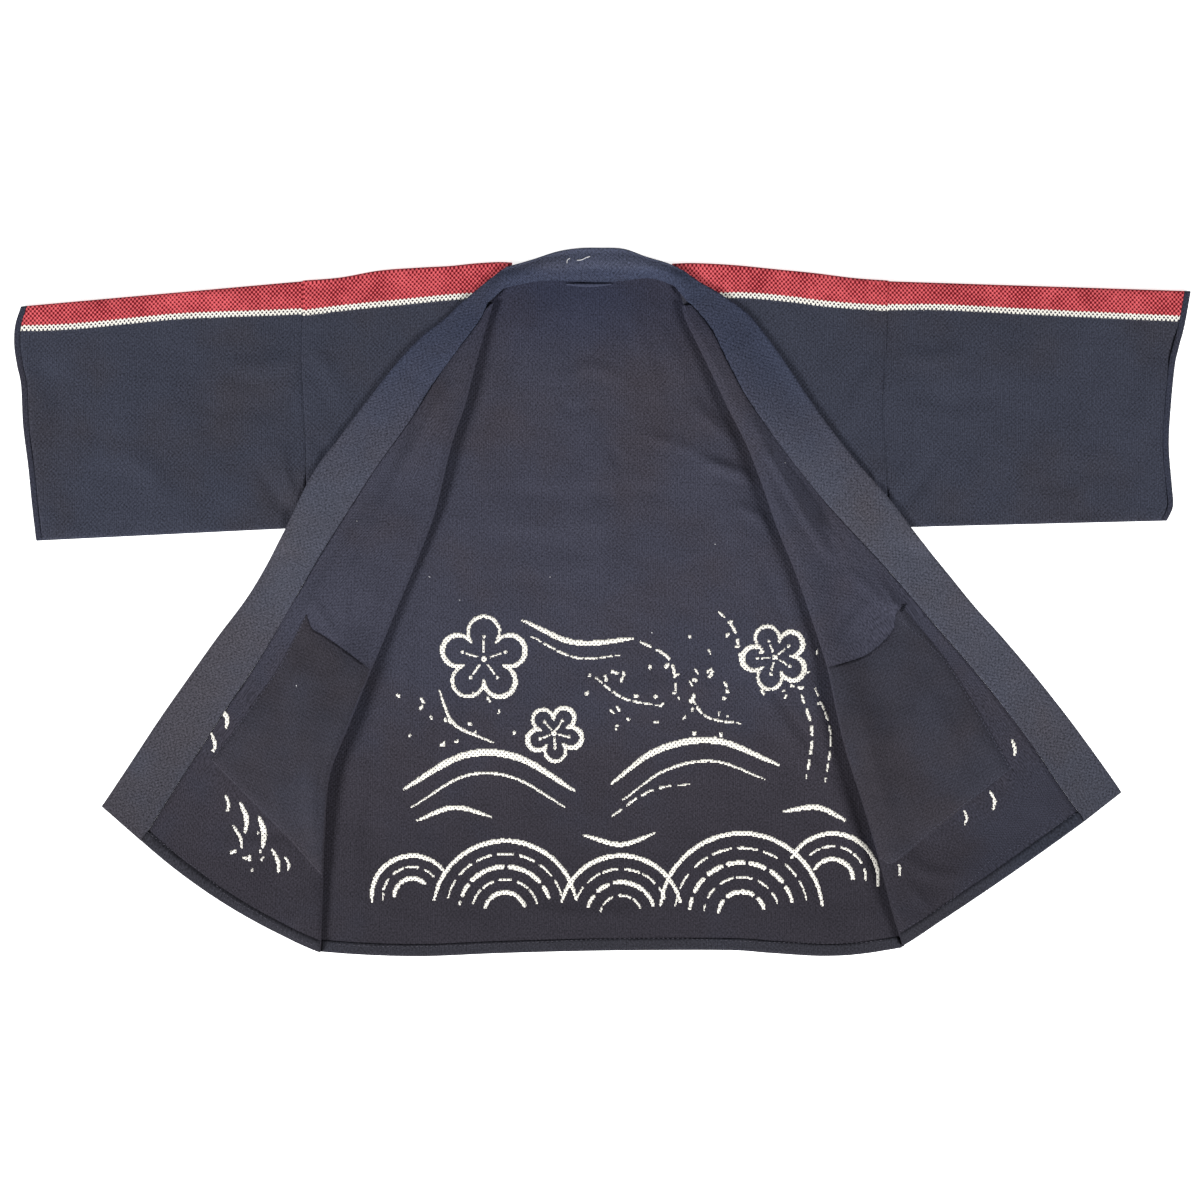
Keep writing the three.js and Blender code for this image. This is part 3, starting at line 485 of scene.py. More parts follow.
# The neckline rises to the collar on both sides of the nape, where the collar climbs over the shoulders.
NECK_RISE = [
    (-0.1045, 0.0041), (-0.09, 0.0028), (-0.076, 0.0015), (-0.05, 0.0001), (0.023, 0.0),
    (0.047, 0.0011), (0.068, 0.0028), (0.08, 0.0037),
]
rise_x, rise_z = np.array(NECK_RISE).T
below_neck = np.maximum(0, back_top(back_x) - back_y)
neck_lift = np.interp(back_x, rise_x, rise_z) * np.exp(-((below_neck / 0.020) ** 2))
neck_lift *= ease(np.minimum(from_left, from_right) / 0.010) * (back_y > 0.25)
back_lift = np.maximum(worn, 0) * inland * bared + neck_lift
back_over = np.stack([back_x, back_y, back_z + CLOTH + back_lift], -1)
back_under = np.stack([back_x, back_y, np.maximum(0, back_z + back_lift)], -1)
# The inside cloth carries painted shade toward the neck.
inside_cloth = fabric("indigo_inside", tone(55, 54, 63), hem=0.42, neck=0.30)
outside_cloth = fabric("indigo_outside", tone(50, 51, 60), knot=0.16, striped=True)
back = shell("back_panel", back_over, back_under, np.stack([back_x, back_y], -1))
finish_piece(back, [inside_cloth, outside_cloth], "back")

# ---------------------------------------------------------------------------------------------------
# Print on the inside of the back: white resist figures in the cloth itself, waves of dashed arcs, plum
# blossom, water lines and spray. The coarse weave breaks their edges, and its dark dots show in them.
PRINT_ACROSS = KNOT_ACROSS / 4
PRINT_DOWN = KNOT_DOWN / 4
PRINT_RISE = 0.00012
PRINT_GAP = 0.00002
PRINT_JAG = 0.0005
PRINT_LOWEST = -0.352
FLAP_PRINT_LOWEST = -0.36

# Waves: centre, outer radius, number of arcs, the part of the circle in turns, and the dash of the arcs.
WAVES = rows_of("at radius arcs turn dash", [
    ((0.15, -0.338), 0.088, 5, (0.02, 0.48), 0.03),
    ((0.02, -0.34), 0.066, 4, (0.04, 0.46), 0.024),
    ((-0.105, -0.336), 0.078, 5, (0.03, 0.47), 0.027),
    ((-0.205, -0.318), 0.044, 3, (0.1, 0.52), 0.02),
    ((0.248, -0.3), 0.05, 3, (-0.02, 0.42), 0.02),
])
# Blossoms: centre, radius, turn of the first petal
BLOSSOMS = rows_of("at radius turn", [
    ((-0.128, -0.062), 0.047, 0.05),
    ((-0.052, -0.142), 0.031, 0.16),
    ((0.186, -0.06), 0.036, 0.11),
])
# Strokes: points of the line, width, and the length of dash and gap together where it is broken
STROKES = rows_of("line width dash", [
    ([(-0.214, -0.202), (-0.15, -0.166), (-0.092, -0.168), (-0.03, -0.204)], 0.0075, 0),
    ([(-0.206, -0.222), (-0.148, -0.188), (-0.096, -0.19), (-0.04, -0.222)], 0.003, 0),
    ([(0.01, -0.196), (0.06, -0.16), (0.122, -0.15), (0.19, -0.176)], 0.007, 0),
    ([(0.022, -0.214), (0.068, -0.182), (0.12, -0.172), (0.176, -0.192)], 0.003, 0),
    ([(0.004, -0.236), (0.052, -0.204), (0.1, -0.196)], 0.0026, 0.02),
    ([(-0.176, -0.096), (-0.16, -0.132), (-0.118, -0.152)], 0.0034, 0),
    ([(-0.086, -0.02), (-0.03, -0.044), (0.034, -0.04)], 0.006, 0),
    ([(-0.08, -0.036), (-0.03, -0.06), (0.02, -0.058)], 0.0026, 0.016),
    ([(0.034, -0.04), (0.072, -0.062), (0.08, -0.1)], 0.0032, 0.022),
    ([(0.212, -0.094), (0.226, -0.14), (0.22, -0.19)], 0.0034, 0.018),
    ([(0.228, -0.09), (0.246, -0.14), (0.24, -0.196)], 0.0026, 0.014),
    ([(0.12, -0.006), (0.142, -0.03), (0.15, -0.07)], 0.003, 0.018),
    ([(-0.2, -0.236), (-0.16, -0.222), (-0.12, -0.232)], 0.005, 0),
    ([(-0.02, -0.252), (0.02, -0.262), (0.056, -0.25)], 0.0052, 0),
    ([(0.196, -0.226), (0.232, -0.222), (0.262, -0.236)], 0.0056, 0),
    ([(-0.01, -0.08), (0.022, -0.104), (0.06, -0.112)], 0.0028, 0.012),
    ([(0.094, -0.1), (0.112, -0.124), (0.15, -0.132)], 0.0028, 0.012),
])
# Spray: the two corners of the area, the number of drops, and the start of its chances
SPRAY = rows_of("area count seed", [
    ((-0.02, -0.15, 0.14, -0.07), 34, 7),
    ((0.09, -0.13, 0.27, -0.02), 26, 11),
    ((-0.22, -0.16, -0.09, -0.10), 16, 3),
])


def dashes(points, width, dash, gap_share=0.35, taper=0.35):
    """Capsules along a curve: their two ends and radius, thinner at the curve's ends, with gaps."""
    fine = along(points, np.linspace(0, len(points) - 1, 80))
    run = np.concatenate([[0], np.cumsum(np.hypot(*np.diff(fine, axis=0).T))])
    total = run[-1]
    made = []
    step = 0.004
    at = 0.0
    while at < total - step / 2:
        middle = at + step / 2
        if not dash or (middle / dash) % 1 > gap_share:
            cuts = (at, min(at + step, total))
            ends = [np.array([np.interp(cut, run, fine[:, k]) for k in (0, 1)]) for cut in cuts]
            swell = np.sin(np.pi * np.clip(middle / total, 0.02, 0.98)) ** taper
            made.append((*ends, width / 2 * swell))
        at += step
    return made


def wave_strokes(wave):
    """Nested arcs: a full outer rim, and dashes inside that grow shorter toward the middle, thick and thin in
    turn.
    """
    made = []
    for k in range(wave["arcs"]):
        radius = wave["radius"] * (1 - k / (wave["arcs"] + 0.6))
        angles = 2 * np.pi * np.linspace(*wave["turn"], 12)
        line = np.array(wave["at"]) + radius * np.stack([np.cos(angles), np.sin(angles)], -1)
        width = 0.0050 if k % 2 == 0 else 0.0026
        made += dashes(line, width, 0 if k == 0 else wave["dash"] * (1 - 0.1 * k), 0.3, 0.2)
    return made


def blossom_strokes(flower):
    """Five round petals in outline, a ring of short stamens and a dot in the middle."""
    made = []
    centre = np.array(flower["at"])
    size = flower["radius"]
    for petal in range(5):
        angle = 2 * np.pi * (flower["turn"] + petal / 5)
        out = np.array([np.cos(angle), np.sin(angle)])
        round_petal = angle + np.pi * np.linspace(-0.72, 0.72, 10)
        middle = centre + out * size * 0.62
        rim = middle + 0.36 * size * np.stack([np.cos(round_petal), np.sin(round_petal)], -1)
        made += dashes(rim, 0.0040 if petal % 2 else 0.0055, 0, 0, 0.3)
        made += dashes(np.array([centre + out * size * 0.16, centre + out * size * 0.42]), 0.0022, 0, 0, 0.2)
        tip = centre + out * size * 0.52
        made.append((tip, tip, 0.0018))
    made.append((centre, centre, 0.0030))
    return made


def spray(area, count, seed):
    """Scattered drops of white, small and uneven."""
    chance = np.random.default_rng(seed)
    made = []
    for _ in range(count):
        spot = np.array([chance.uniform(area[0], area[2]), chance.uniform(area[1], area[3])])
        stretch = np.array([chance.uniform(-0.003, 0.003), chance.uniform(-0.001, 0.004)])
        made.append((spot, spot + stretch, chance.uniform(0.0010, 0.0020)))
    return made


def tree_of(*pieces):
    """The surface of one or more pieces, for finding the height at which something lies on it."""
    points = []
    faces = []
    for piece in pieces:
        mesh = piece.data
        corners = np.empty(len(mesh.loops), np.int32)
        mesh.loops.foreach_get("vertex_index", corners)
        faces += (corners.reshape(-1, 4) + len(points)).tolist()
        place_of = np.empty(len(mesh.vertices) * 3)
        mesh.vertices.foreach_get("co", place_of)
        points += place_of.reshape(-1, 3).tolist()
    return BVHTree.FromPolygons(points, faces)


def height_on(surface, x, y):
    """Height of the surface seen from above at each place; where it ends, that of its nearest point."""
    flat_x = np.ravel(x)
    flat_y = np.ravel(y)
    heights = np.empty(flat_x.shape)
    for k, (px, py) in enumerate(zip(flat_x.tolist(), flat_y.tolist())):
        hit = surface.ray_cast(Vector((px, py, 0.1)), Vector((0, 0, -1)))[0]
        if hit is None:
            hit = surface.find_nearest(Vector((px, py, 0.006)))[0]
        heights[k] = hit[2]
    return heights.reshape(np.shape(x))


def print_piece(name, strokes, surface, lowest):
    """The strokes above the lowest Y as one thin raised layer, cut at the small steps of the weave."""
    ends = np.array([[*a, *b] for a, b, _ in strokes])
    radii = np.array([r for _, _, r in strokes])
    low = np.minimum(ends[:, :2], ends[:, 2:]).min(axis=0) - 0.01
    high = np.maximum(ends[:, :2], ends[:, 2:]).max(axis=0) + 0.01
    start = np.floor(low / (PRINT_ACROSS, PRINT_DOWN)).astype(int)
    stop = np.ceil(high / (PRINT_ACROSS, PRINT_DOWN)).astype(int)
    gx = np.arange(start[0], stop[0] + 1) * PRINT_ACROSS
    gy = np.arange(start[1], stop[1] + 1) * PRINT_DOWN
    cx, cy = np.meshgrid(gx[:-1] + PRINT_ACROSS / 2, gy[:-1] + PRINT_DOWN / 2)
    row = np.floor(cy / (KNOT_DOWN / 2))
    knot = np.floor(cx / KNOT_ACROSS + 0.5 * (row % 2))
    jag = np.sin(row * 12.9898 + knot * 78.233) * 43758.5453
    jag = (jag - np.floor(jag) - 0.5) * PRINT_JAG
    inked = np.zeros(cx.shape, bool)
    for (ax, ay, bx, by), radius in zip(ends, radii):
        reach = radius + 0.002
        cols = np.searchsorted(gx, [min(ax, bx) - reach, max(ax, bx) + reach])
        rows = np.searchsorted(gy, [min(ay, by) - reach, max(ay, by) + reach])
        part = (slice(max(rows[0] - 1, 0), rows[1]), slice(max(cols[0] - 1, 0), cols[1]))
        dx = bx - ax
        dy = by - ay
        t = np.clip(((cx[part] - ax) * dx + (cy[part] - ay) * dy) / max(dx * dx + dy * dy, 1e-12), 0, 1)
        distance = np.hypot(cx[part] - ax - dx * t, cy[part] - ay - dy * t)
        inked[part] |= distance < radius + jag[part]
    inked &= cy > lowest
    for _ in range(6):
        slash = inked[1:, 1:] & inked[:-1, :-1] & ~inked[1:, :-1] & ~inked[:-1, 1:]
        other = ~inked[1:, 1:] & ~inked[:-1, :-1] & inked[1:, :-1] & inked[:-1, 1:]
        inked[1:, :-1] |= slash
        inked[1:, 1:] |= other
    x, y = np.meshgrid(gx, gy)
    near = np.zeros(x.shape, bool)
    for rows in (slice(None, -1), slice(1, None)):
        for cols in (slice(None, -1), slice(1, None)):
            near[rows, cols] |= inked
    z = np.zeros(x.shape)
    z[near] = height_on(surface, x[near], y[near])
    over = np.stack([x, y, z + PRINT_RISE], -1)
    under = np.stack([x, y, z + PRINT_GAP], -1)
    piece = shell(name, over, under, np.stack([x, y], -1), keep=inked)
    return finish_piece(piece, [white_print, white_print])


def printed_white():
    material, tree, shader = new_finish("printed_white", 0.9, 0.2)
    _, _, dots = weave(tree)
    colour = blend(tree, ramp(tree, dots, 0.40, 0.85), CREAM, DOT)
    tree.links.new(colour, shader.inputs["Base Color"])
    return material


white_print = printed_white()
figures = []
for wave in WAVES:
    figures += wave_strokes(wave)
for flower in BLOSSOMS:
    figures += blossom_strokes(flower)
for stroke in STROKES:
    figures += dashes(stroke["line"], stroke["width"], stroke["dash"])
for sprayed in SPRAY:
    figures += spray(**sprayed)
back_surface = tree_of(back)
back_print = print_piece("back_print", figures, back_surface, PRINT_LOWEST)

# ---------------------------------------------------------------------------------------------------
# Fronts: each is sewn to the back along the side, laid over it, and turned outward at a soft roll, so that
# the upper part shows its outside and the flap its inside. A red and white stripe runs under the shoulder.
LOOSE_GAP = 0.0007
PUFF = CLOTH / 2 + 2 * SHOULDER_ROLL - LOW_Z
SLEEVE_TOP = CLOTH + 2 * SHOULDER_ROLL
RELAX = 0.038
FULL_ROLL = 0.0042
LEVEL_STEPS = 14
LOWER_CELLS = 40
ROLL_CELLS = 8
FLAP_CELLS = 46
FLAP_FROM = 0.5
SLOPE_FROM = 0.009
SLOPE_RUN = 0.027
ARMHOLE_PUFF = 0.035
SHOULDER_PUFF = 0.040

# Lower edge of the red stripe on each front
RED_LEFT = [
    (-0.3235, 0.3138), (-0.2835, 0.3191), (-0.2403, 0.3235), (-0.1971, 0.3278), (-0.1647, 0.331),
    (-0.112, 0.3345),
]
RED_RIGHT = [
    (0.08, 0.3345), (0.1269, 0.3332), (0.1593, 0.333), (0.2025, 0.3289), (0.2457, 0.3235),
    (0.3085, 0.319),
]
# Cuff openings in plan, from the shoulder fold to the underarm fold
CUFF_LEFT = [
    (-0.627, 0.3185), (-0.6334, 0.2975), (-0.6344, 0.276), (-0.6313, 0.2543), (-0.627, 0.2327),
    (-0.6248, 0.1895), (-0.6194, 0.1463), (-0.6151, 0.103), (-0.6107, 0.0654),
]
CUFF_RIGHT = [
    (0.6344, 0.335), (0.6276, 0.2975), (0.622, 0.2759), (0.6172, 0.2543), (0.6129, 0.211),
    (0.6107, 0.168), (0.614, 0.1247), (0.6152, 0.103), (0.6086, 0.087),
]
FLAP_CREASES = rows_of("line half rise", [
    ([(-0.199, 0.192), (-0.237, 0.14), (-0.263, 0.099), (-0.331, -0.014)], 0.01, -0.0016),
    ([(0.172, 0.178), (0.198, 0.143), (0.229, 0.104), (0.297, 0.03)], 0.01, -0.0022),
    ([(-0.166, 0.236), (-0.2, 0.172), (-0.24, 0.096)], 0.012, 0.0036),
    ([(-0.226, 0.12), (-0.25, 0.066), (-0.272, 0.016)], 0.013, 0.002),
    ([(-0.262, 0.052), (-0.276, 0.006), (-0.282, -0.052)], 0.011, 0.0017),
    ([(-0.316, 0.006), (-0.298, -0.022), (-0.286, -0.04)], 0.006, 0.002),
    ([(-0.322, -0.06), (-0.352, -0.108), (-0.388, -0.16)], 0.014, 0.0017),
    ([(-0.3, -0.11), (-0.314, -0.2), (-0.31, -0.29)], 0.014, 0.0034),
    ([(-0.346, -0.14), (-0.35, -0.2), (-0.344, -0.25)], 0.012, 0.0018),
    ([(-0.33, -0.26), (-0.372, -0.262), (-0.42, -0.256)], 0.014, 0.002),
    ([(-0.31, -0.3), (-0.322, -0.33), (-0.336, -0.352)], 0.01, 0.0028),
    ([(-0.42, -0.18), (-0.446, -0.206), (-0.47, -0.236)], 0.012, 0.0017),
    ([(0.152, 0.21), (0.204, 0.116), (0.25, 0.04)], 0.011, 0.0042),
    ([(0.262, 0.038), (0.3, 0.002), (0.322, -0.012)], 0.01, 0.002),
    ([(0.3, 0.02), (0.316, -0.004), (0.328, -0.024)], 0.006, 0.0028),
    ([(0.29, 0.002), (0.262, -0.032), (0.252, -0.06)], 0.01, 0.002),
    ([(0.276, -0.1), (0.29, -0.17), (0.312, -0.24)], 0.013, 0.0025),
    ([(0.336, -0.08), (0.372, -0.14), (0.388, -0.2)], 0.016, 0.002),
    ([(0.392, -0.12), (0.42, -0.168), (0.452, -0.21)], 0.013, 0.0017),
    ([(0.296, -0.28), (0.31, -0.316), (0.322, -0.35)], 0.008, 0.0036),
    ([(0.322, -0.272), (0.352, -0.292), (0.392, -0.296)], 0.012, 0.0022),
    ([(0.326, -0.3), (0.344, -0.322), (0.352, -0.336)], 0.008, 0.002),
])
SHOULDER_CREASES = rows_of("line half rise", [
    ([(-0.318, 0.28), (-0.29, 0.24), (-0.27, 0.19)], 0.016, 0.0017),
    ([(-0.315, 0.19), (-0.296, 0.15), (-0.29, 0.11)], 0.013, -0.0013),
    ([(-0.15, 0.33), (-0.176, 0.302), (-0.2, 0.262)], 0.014, 0.0016),
    ([(-0.205, 0.33), (-0.222, 0.302), (-0.236, 0.268)], 0.012, -0.0012),
    ([(-0.24, 0.33), (-0.25, 0.3), (-0.262, 0.262)], 0.016, 0.0012),
    ([(0.13, 0.33), (0.166, 0.296), (0.19, 0.262)], 0.014, 0.0016),
    ([(0.182, 0.326), (0.206, 0.272), (0.232, 0.222)], 0.013, -0.0016),
    ([(0.3, 0.262), (0.276, 0.222), (0.262, 0.18)], 0.015, 0.0017),
    ([(0.302, 0.15), (0.29, 0.122), (0.282, 0.1)], 0.01, 0.0016),
    ([(0.226, 0.336), (0.24, 0.3), (0.25, 0.262)], 0.016, -0.001),
])

LEFT = {
    "sign": -1, "shoulder": SHOULDER_LEFT, "side": SIDE_SEAM_LEFT, "front": FRONT_LEFT, "red": RED_LEFT,
    "cuff": CUFF_LEFT, "underarm": (-0.3204, 0.0796), "armhole": [SHOULDER_LEFT[0], *SIDE_SEAM_LEFT],
    "neck_reach": 0.1165,
}
RIGHT = {
    "sign": 1, "shoulder": SHOULDER_RIGHT, "side": SIDE_SEAM_RIGHT, "front": FRONT_RIGHT, "red": RED_RIGHT,
    "cuff": CUFF_RIGHT, "underarm": (0.3084, 0.0796), "armhole": [SHOULDER_RIGHT[0], *SIDE_SEAM_RIGHT],
    "neck_reach": 0.0925,
}


def puff(side, x, y):
    """How much higher a front lies where it rises to the shoulder fold and to the armhole seam."""
    inward = np.maximum(0, side["sign"] * (crossing(side["armhole"], y, 1) - x))
    down = np.maximum(0, crossing(side["shoulder"], x) - y)
    near_armhole = np.exp(-((inward / ARMHOLE_PUFF) ** 2)) * ease((y - 0.030) / 0.060)
    return PUFF * (1 - (1 - np.exp(-((down / SHOULDER_PUFF) ** 2))) * (1 - near_armhole))


def bed(side, x, y):
    """Height of what lies under a flap or the collar: the body, the sleeve, or the table past both."""
    out = side["sign"] * (x - crossing(side["armhole"], y, 1))
    end = side["cuff"][-1]
    under = mix(side["underarm"][1], end[1], (x - side["underarm"][0]) / (end[0] - side["underarm"][0]))
    body = (LOW_Z + CLOTH / 2 + puff(side, x, y)) * (1 - ease((out - SLOPE_FROM) / SLOPE_RUN))
    past_sleeve = np.hypot(np.maximum(0, under - y), np.maximum(0, -out))
    return np.maximum(body, SLEEVE_TOP * (1 - ease((past_sleeve - SLOPE_FROM) / SLOPE_RUN)))


def unit(vectors):
    return vectors / np.linalg.norm(vectors, axis=-1, keepdims=True)


def fold_line(side, level):
    """The fold at each level: its point, its course, the directions of both layers and their lengths."""
    rows = side["front"]
    folds = [row["fold"] for row in rows]
    fold = along(folds, level)
    seam = along([row["seam"] for row in rows], level)
    edge = along(side["side"], level)
    course = along(folds, level + 0.05) - along(folds, level - 0.05)
    return {
        "point": fold,
        "course": unit(course),
        "to_side": unit(edge - fold),
        "to_seam": unit(seam - fold),
        "side_length": np.linalg.norm(edge - fold, axis=-1),
        "seam_length": np.linalg.norm(seam - fold, axis=-1),
        "roll": along([row["roll"] for row in rows], level),
        "bow": along([row["bow"] for row in rows], level),
    }


def on_flap(side, level, share):
    """Plan and height of a flap's middle at a level and a share of the way to the collar seam."""
    line = fold_line(side, level)
    reach = mix(line["roll"], line["seam_length"], share**1.25)
    part = reach / line["seam_length"]
    bend = line["bow"] * 4 * part * (1 - part)
    bow_x = line["to_seam"][..., 1] * side["sign"]
    bow_y = -line["to_seam"][..., 0] * side["sign"]
    x = line["point"][..., 0] + line["to_seam"][..., 0] * reach + bow_x * bend
    y = line["point"][..., 1] + line["to_seam"][..., 1] * reach + bow_y * bend
    low = LOW_Z + puff(side, line["point"][..., 0], line["point"][..., 1])
    rest = bed(side, x, y) + LOOSE_GAP + CLOTH / 2
    sink = 1 - ease((reach - line["roll"]) / (RELAX * line["roll"] / FULL_ROLL))
    z = rest + np.maximum(0, low + 2 * line["roll"] - rest) * sink
    return np.stack([x, y, z], -1), reach


def surface_normals(points):
    down = np.gradient(points, axis=0)
    across = np.gradient(points, axis=1)
    return unit(np.cross(down, across))


def front_grid(side):
    """Middle surface of a front, its place in the uncut cloth, and the cells that exist."""
    rows = side["front"]
    lower_share = np.linspace(0, 1, LOWER_CELLS + 1) ** 1.25
    shoulder_x = mix(side["shoulder"][0][0], side["shoulder"][-1][0], lower_share)
    shoulder_y = crossing(side["shoulder"], shoulder_x)
    points = []
    cloth = []
    for angle in np.radians(np.linspace(-90, 90, 13)):
        y = shoulder_y - SHOULDER_ROLL * (1 - np.cos(angle))
        z = np.full(y.shape, CLOTH / 2 + SHOULDER_ROLL * (1 + np.sin(angle)))
        points.append(np.stack([shoulder_x, y, z], -1))
        cloth.append(np.stack([shoulder_x, shoulder_y - SHOULDER_ROLL * angle], -1))
    first = fold_line(side, np.array(0.0))
    start = np.array(side["side"][0])
    stop = first["point"] + np.array([side["sign"] * first["roll"], 0])
    for share in np.linspace(0, 1, 8)[1:-1]:
        to = mix(start, stop, lower_share[:, None])
        plan = mix(np.stack([shoulder_x, shoulder_y - SHOULDER_ROLL], -1), to, share)
        z = LOW_Z + puff(side, plan[:, 0], plan[:, 1])
        points.append(np.concatenate([plan, z[:, None]], 1))
        cloth.append(plan)
    head_rows = len(points)
    levels = np.linspace(0, len(rows) - 1, (len(rows) - 1) * LEVEL_STEPS + 1)
    level = levels[:, None]
    line = fold_line(side, level)
    reach = mix(line["side_length"], line["roll"], lower_share[None, :])[..., None]
    lower_plan = line["point"] + line["to_side"] * reach
    lower_z = LOW_Z + puff(side, lower_plan[..., 0], lower_plan[..., 1])
    lower = np.concatenate([lower_plan, lower_z[..., None]], -1)
    turn = np.radians(np.linspace(-90, 90, ROLL_CELLS + 1)[1:])[None, :]
    roll = line["roll"]
    low = LOW_Z + puff(side, line["point"][..., 0], line["point"][..., 1])
    out = np.where(turn[..., None] < 0, line["to_side"], line["to_seam"])
    out = out * (roll * (1 - np.cos(turn)))[..., None]
    rolled = np.concatenate([line["point"] + out, (low + roll * (1 + np.sin(turn)))[..., None]], -1)
    share = np.linspace(0, 1, FLAP_CELLS + 1)[1:][None, :]
    flap, flap_reach = on_flap(side, level, share)
    along_fold = np.sum(line["to_seam"] * line["course"], -1, keepdims=True)
    mirrored = 2 * along_fold * line["course"] - line["to_seam"]
    turned = roll * (turn + np.pi / 2)
    beyond = np.concatenate([turned, np.pi * roll + flap_reach - roll], 1)
    flat = line["point"] + line["to_side"] * roll[..., None] + mirrored * beyond[..., None]
    table_points = np.concatenate([lower, rolled, flap], 1)
    table_cloth = np.concatenate([lower_plan, flat], 1)
    columns = table_points.shape[1]
    grid = np.zeros((head_rows + len(levels), columns, 3))
    uv = np.zeros((head_rows + len(levels), columns, 2))
    grid[head_rows:] = table_points
    uv[head_rows:] = table_cloth
    grid[:head_rows, : LOWER_CELLS + 1] = np.array(points)
    uv[:head_rows, : LOWER_CELLS + 1] = np.array(cloth)
    flap_row = head_rows + int(FLAP_FROM * LEVEL_STEPS)
    keep = np.ones((len(grid) - 1, columns - 1), bool)
    keep[:flap_row, LOWER_CELLS:] = False
    normal = np.zeros(grid.shape)
    normal[flap_row:] = surface_normals(grid[flap_row:])
    normal[:, : LOWER_CELLS + 1] = surface_normals(grid[:, : LOWER_CELLS + 1])
    normal[flap_row:, LOWER_CELLS] = surface_normals(grid[flap_row:])[:, LOWER_CELLS]
    normal *= np.sign(normal[head_rows + 10, 5, 2])
    return grid, normal, uv, keep


def seam_pinch(off, y, depth, width):
    """How far the armhole seam draws the cloth down, with small gathers beside it."""
    return depth * np.exp(-((off / width) ** 2)) - 0.00022 * np.sin(y / 0.0018) * np.exp(-off / 0.005)


def front_piece(side, name, node):
    grid, normal, uv, keep = front_grid(side)
    x = grid[..., 0]
    y = grid[..., 1]
    column = np.arange(grid.shape[1])[None, :]
    flap = ease((column - LOWER_CELLS - ROLL_CELLS * 0.6) / 8) + 0 * x
    lower = (column <= LOWER_CELLS) + 0 * x
    inland = ease((grid.shape[1] - 1 - column) / 7)
    stand = 0.0019 + 0.0007 * np.sin(y / 0.031) + 0.0004 * np.sin(y / 0.012 + 1)
    above_hem = ease((len(grid) - 1 - np.arange(len(grid))[:, None]) / 20)
    lift = flap * inland * above_hem * (creases(FLAP_CREASES, x, y) + rumple(x, y, 0.0013) + stand)
    inward = side["sign"] * (crossing(side["armhole"], y, 1) - x)
    open_share = puff(side, x, y) / PUFF
    pinch = seam_pinch(inward, y, 0.0009, 0.0014)
    down = np.clip((crossing(side["shoulder"], x) - y) / 0.006, 0, 1)
    soft = creases(SHOULDER_CREASES, x, y) + rumple(x, y, 0.0006)
    lift += lower * down * (soft * np.clip(0.4 + open_share, 0, 1) - pinch * open_share)
    grid = grid.copy()
    grid[..., 2] += lift
    outside = grid + normal * CLOTH / 2
    inside = grid - normal * CLOTH / 2
    outside[..., 2] = np.maximum(outside[..., 2], 0)
    inside[..., 2] = np.maximum(inside[..., 2], 0)
    red = crossing(side["red"], uv[..., 0])
    straight = np.clip((uv[..., 1] + 0.38) / 0.70, 0, 1)
    grain = np.stack([uv[..., 0], uv[..., 1] - (red - 0.325) * straight], -1)
    under_collar = (side["sign"] * uv[..., 0] < side["neck_reach"]) & (uv[..., 1] < red + 0.006)
    stripe = np.where(under_collar, 0.03, red - uv[..., 1])
    piece = shell(name, outside, inside, grain, keep=keep, stripe=stripe)
    return finish_piece(piece, [outside_cloth, inside_cloth], node)


front_left = front_piece(LEFT, "front_left_cloth", "front_left")
front_right = front_piece(RIGHT, "front_right_cloth", "front_right")

# ---------------------------------------------------------------------------------------------------
# Pockets: a thin, smoother cotton patch inside each front, stitched down at its outer and lower edges.
# The mouth is the slanting upper edge, which stands a little open.
PATCH = 0.0010
SKIM = 0.0001
POCKET_LEFT = {
    "mouth": [
        (-0.2554, -0.0729), (-0.2673, -0.0632), (-0.2889, -0.047), (-0.3062, -0.0351), (-0.3148, -0.0286),
        (-0.3191, -0.0135),
    ],
    "outer": [(-0.3191, -0.0135), (-0.3483, -0.0686), (-0.3850, -0.1226), (-0.4228, -0.1712)],
    "bottom": [(-0.3024, -0.2950), (-0.3330, -0.2620), (-0.3760, -0.2180), (-0.4228, -0.1712)],
    "turn": -0.42,
}
POCKET_RIGHT = {
    "mouth": [
        (0.2468, -0.0707), (0.2738, -0.0632), (0.2889, -0.0567), (0.2997, -0.0481), (0.3105, -0.0373),
        (0.3159, -0.0265), (0.317, -0.0135), (0.3235, -0.0055),
    ],
    "outer": [(0.3235, -0.0055), (0.3688, -0.0610), (0.4020, -0.1130), (0.4412, -0.1798)],
    "bottom": [(0.2975, -0.2770), (0.3169, -0.2781), (0.3893, -0.2209), (0.4412, -0.1798)],
    "turn": 0.42,
}


def patch_plan(pocket, side, across, down):
    """A point of the pocket from its four edges: the fold, the outer seam, the mouth and the bottom."""
    fold = [row["fold"] for row in side["front"]]
    top_y = pocket["mouth"][0][1]
    low_y = pocket["bottom"][0][1]
    fold_y = mix(top_y, low_y, down)
    inner = np.stack([crossing(fold, fold_y, 1) + side["sign"] * 0.0006, fold_y], -1)
    outer = along(pocket["outer"], down * (len(pocket["outer"]) - 1))
    mouth = along(pocket["mouth"], across * (len(pocket["mouth"]) - 1))
    bottom = along(pocket["bottom"], across * (len(pocket["bottom"]) - 1))
    p = across[..., None]
    q = down[..., None]
    corners = (1 - p) * (1 - q) * inner[:1, :1] + p * (1 - q) * np.array(pocket["outer"][0])
    corners = corners + (1 - p) * q * inner[-1:, :1] + p * q * np.array(pocket["outer"][-1])
    start = np.array(pocket["mouth"][0])
    mouth = mouth + (1 - p) * (inner[:1, :1] - start)
    bottom = bottom + (1 - p) * (inner[-1:, :1] - np.array(pocket["bottom"][0]))
    return (1 - p) * inner + p * outer + (1 - q) * mouth + q * bottom - corners


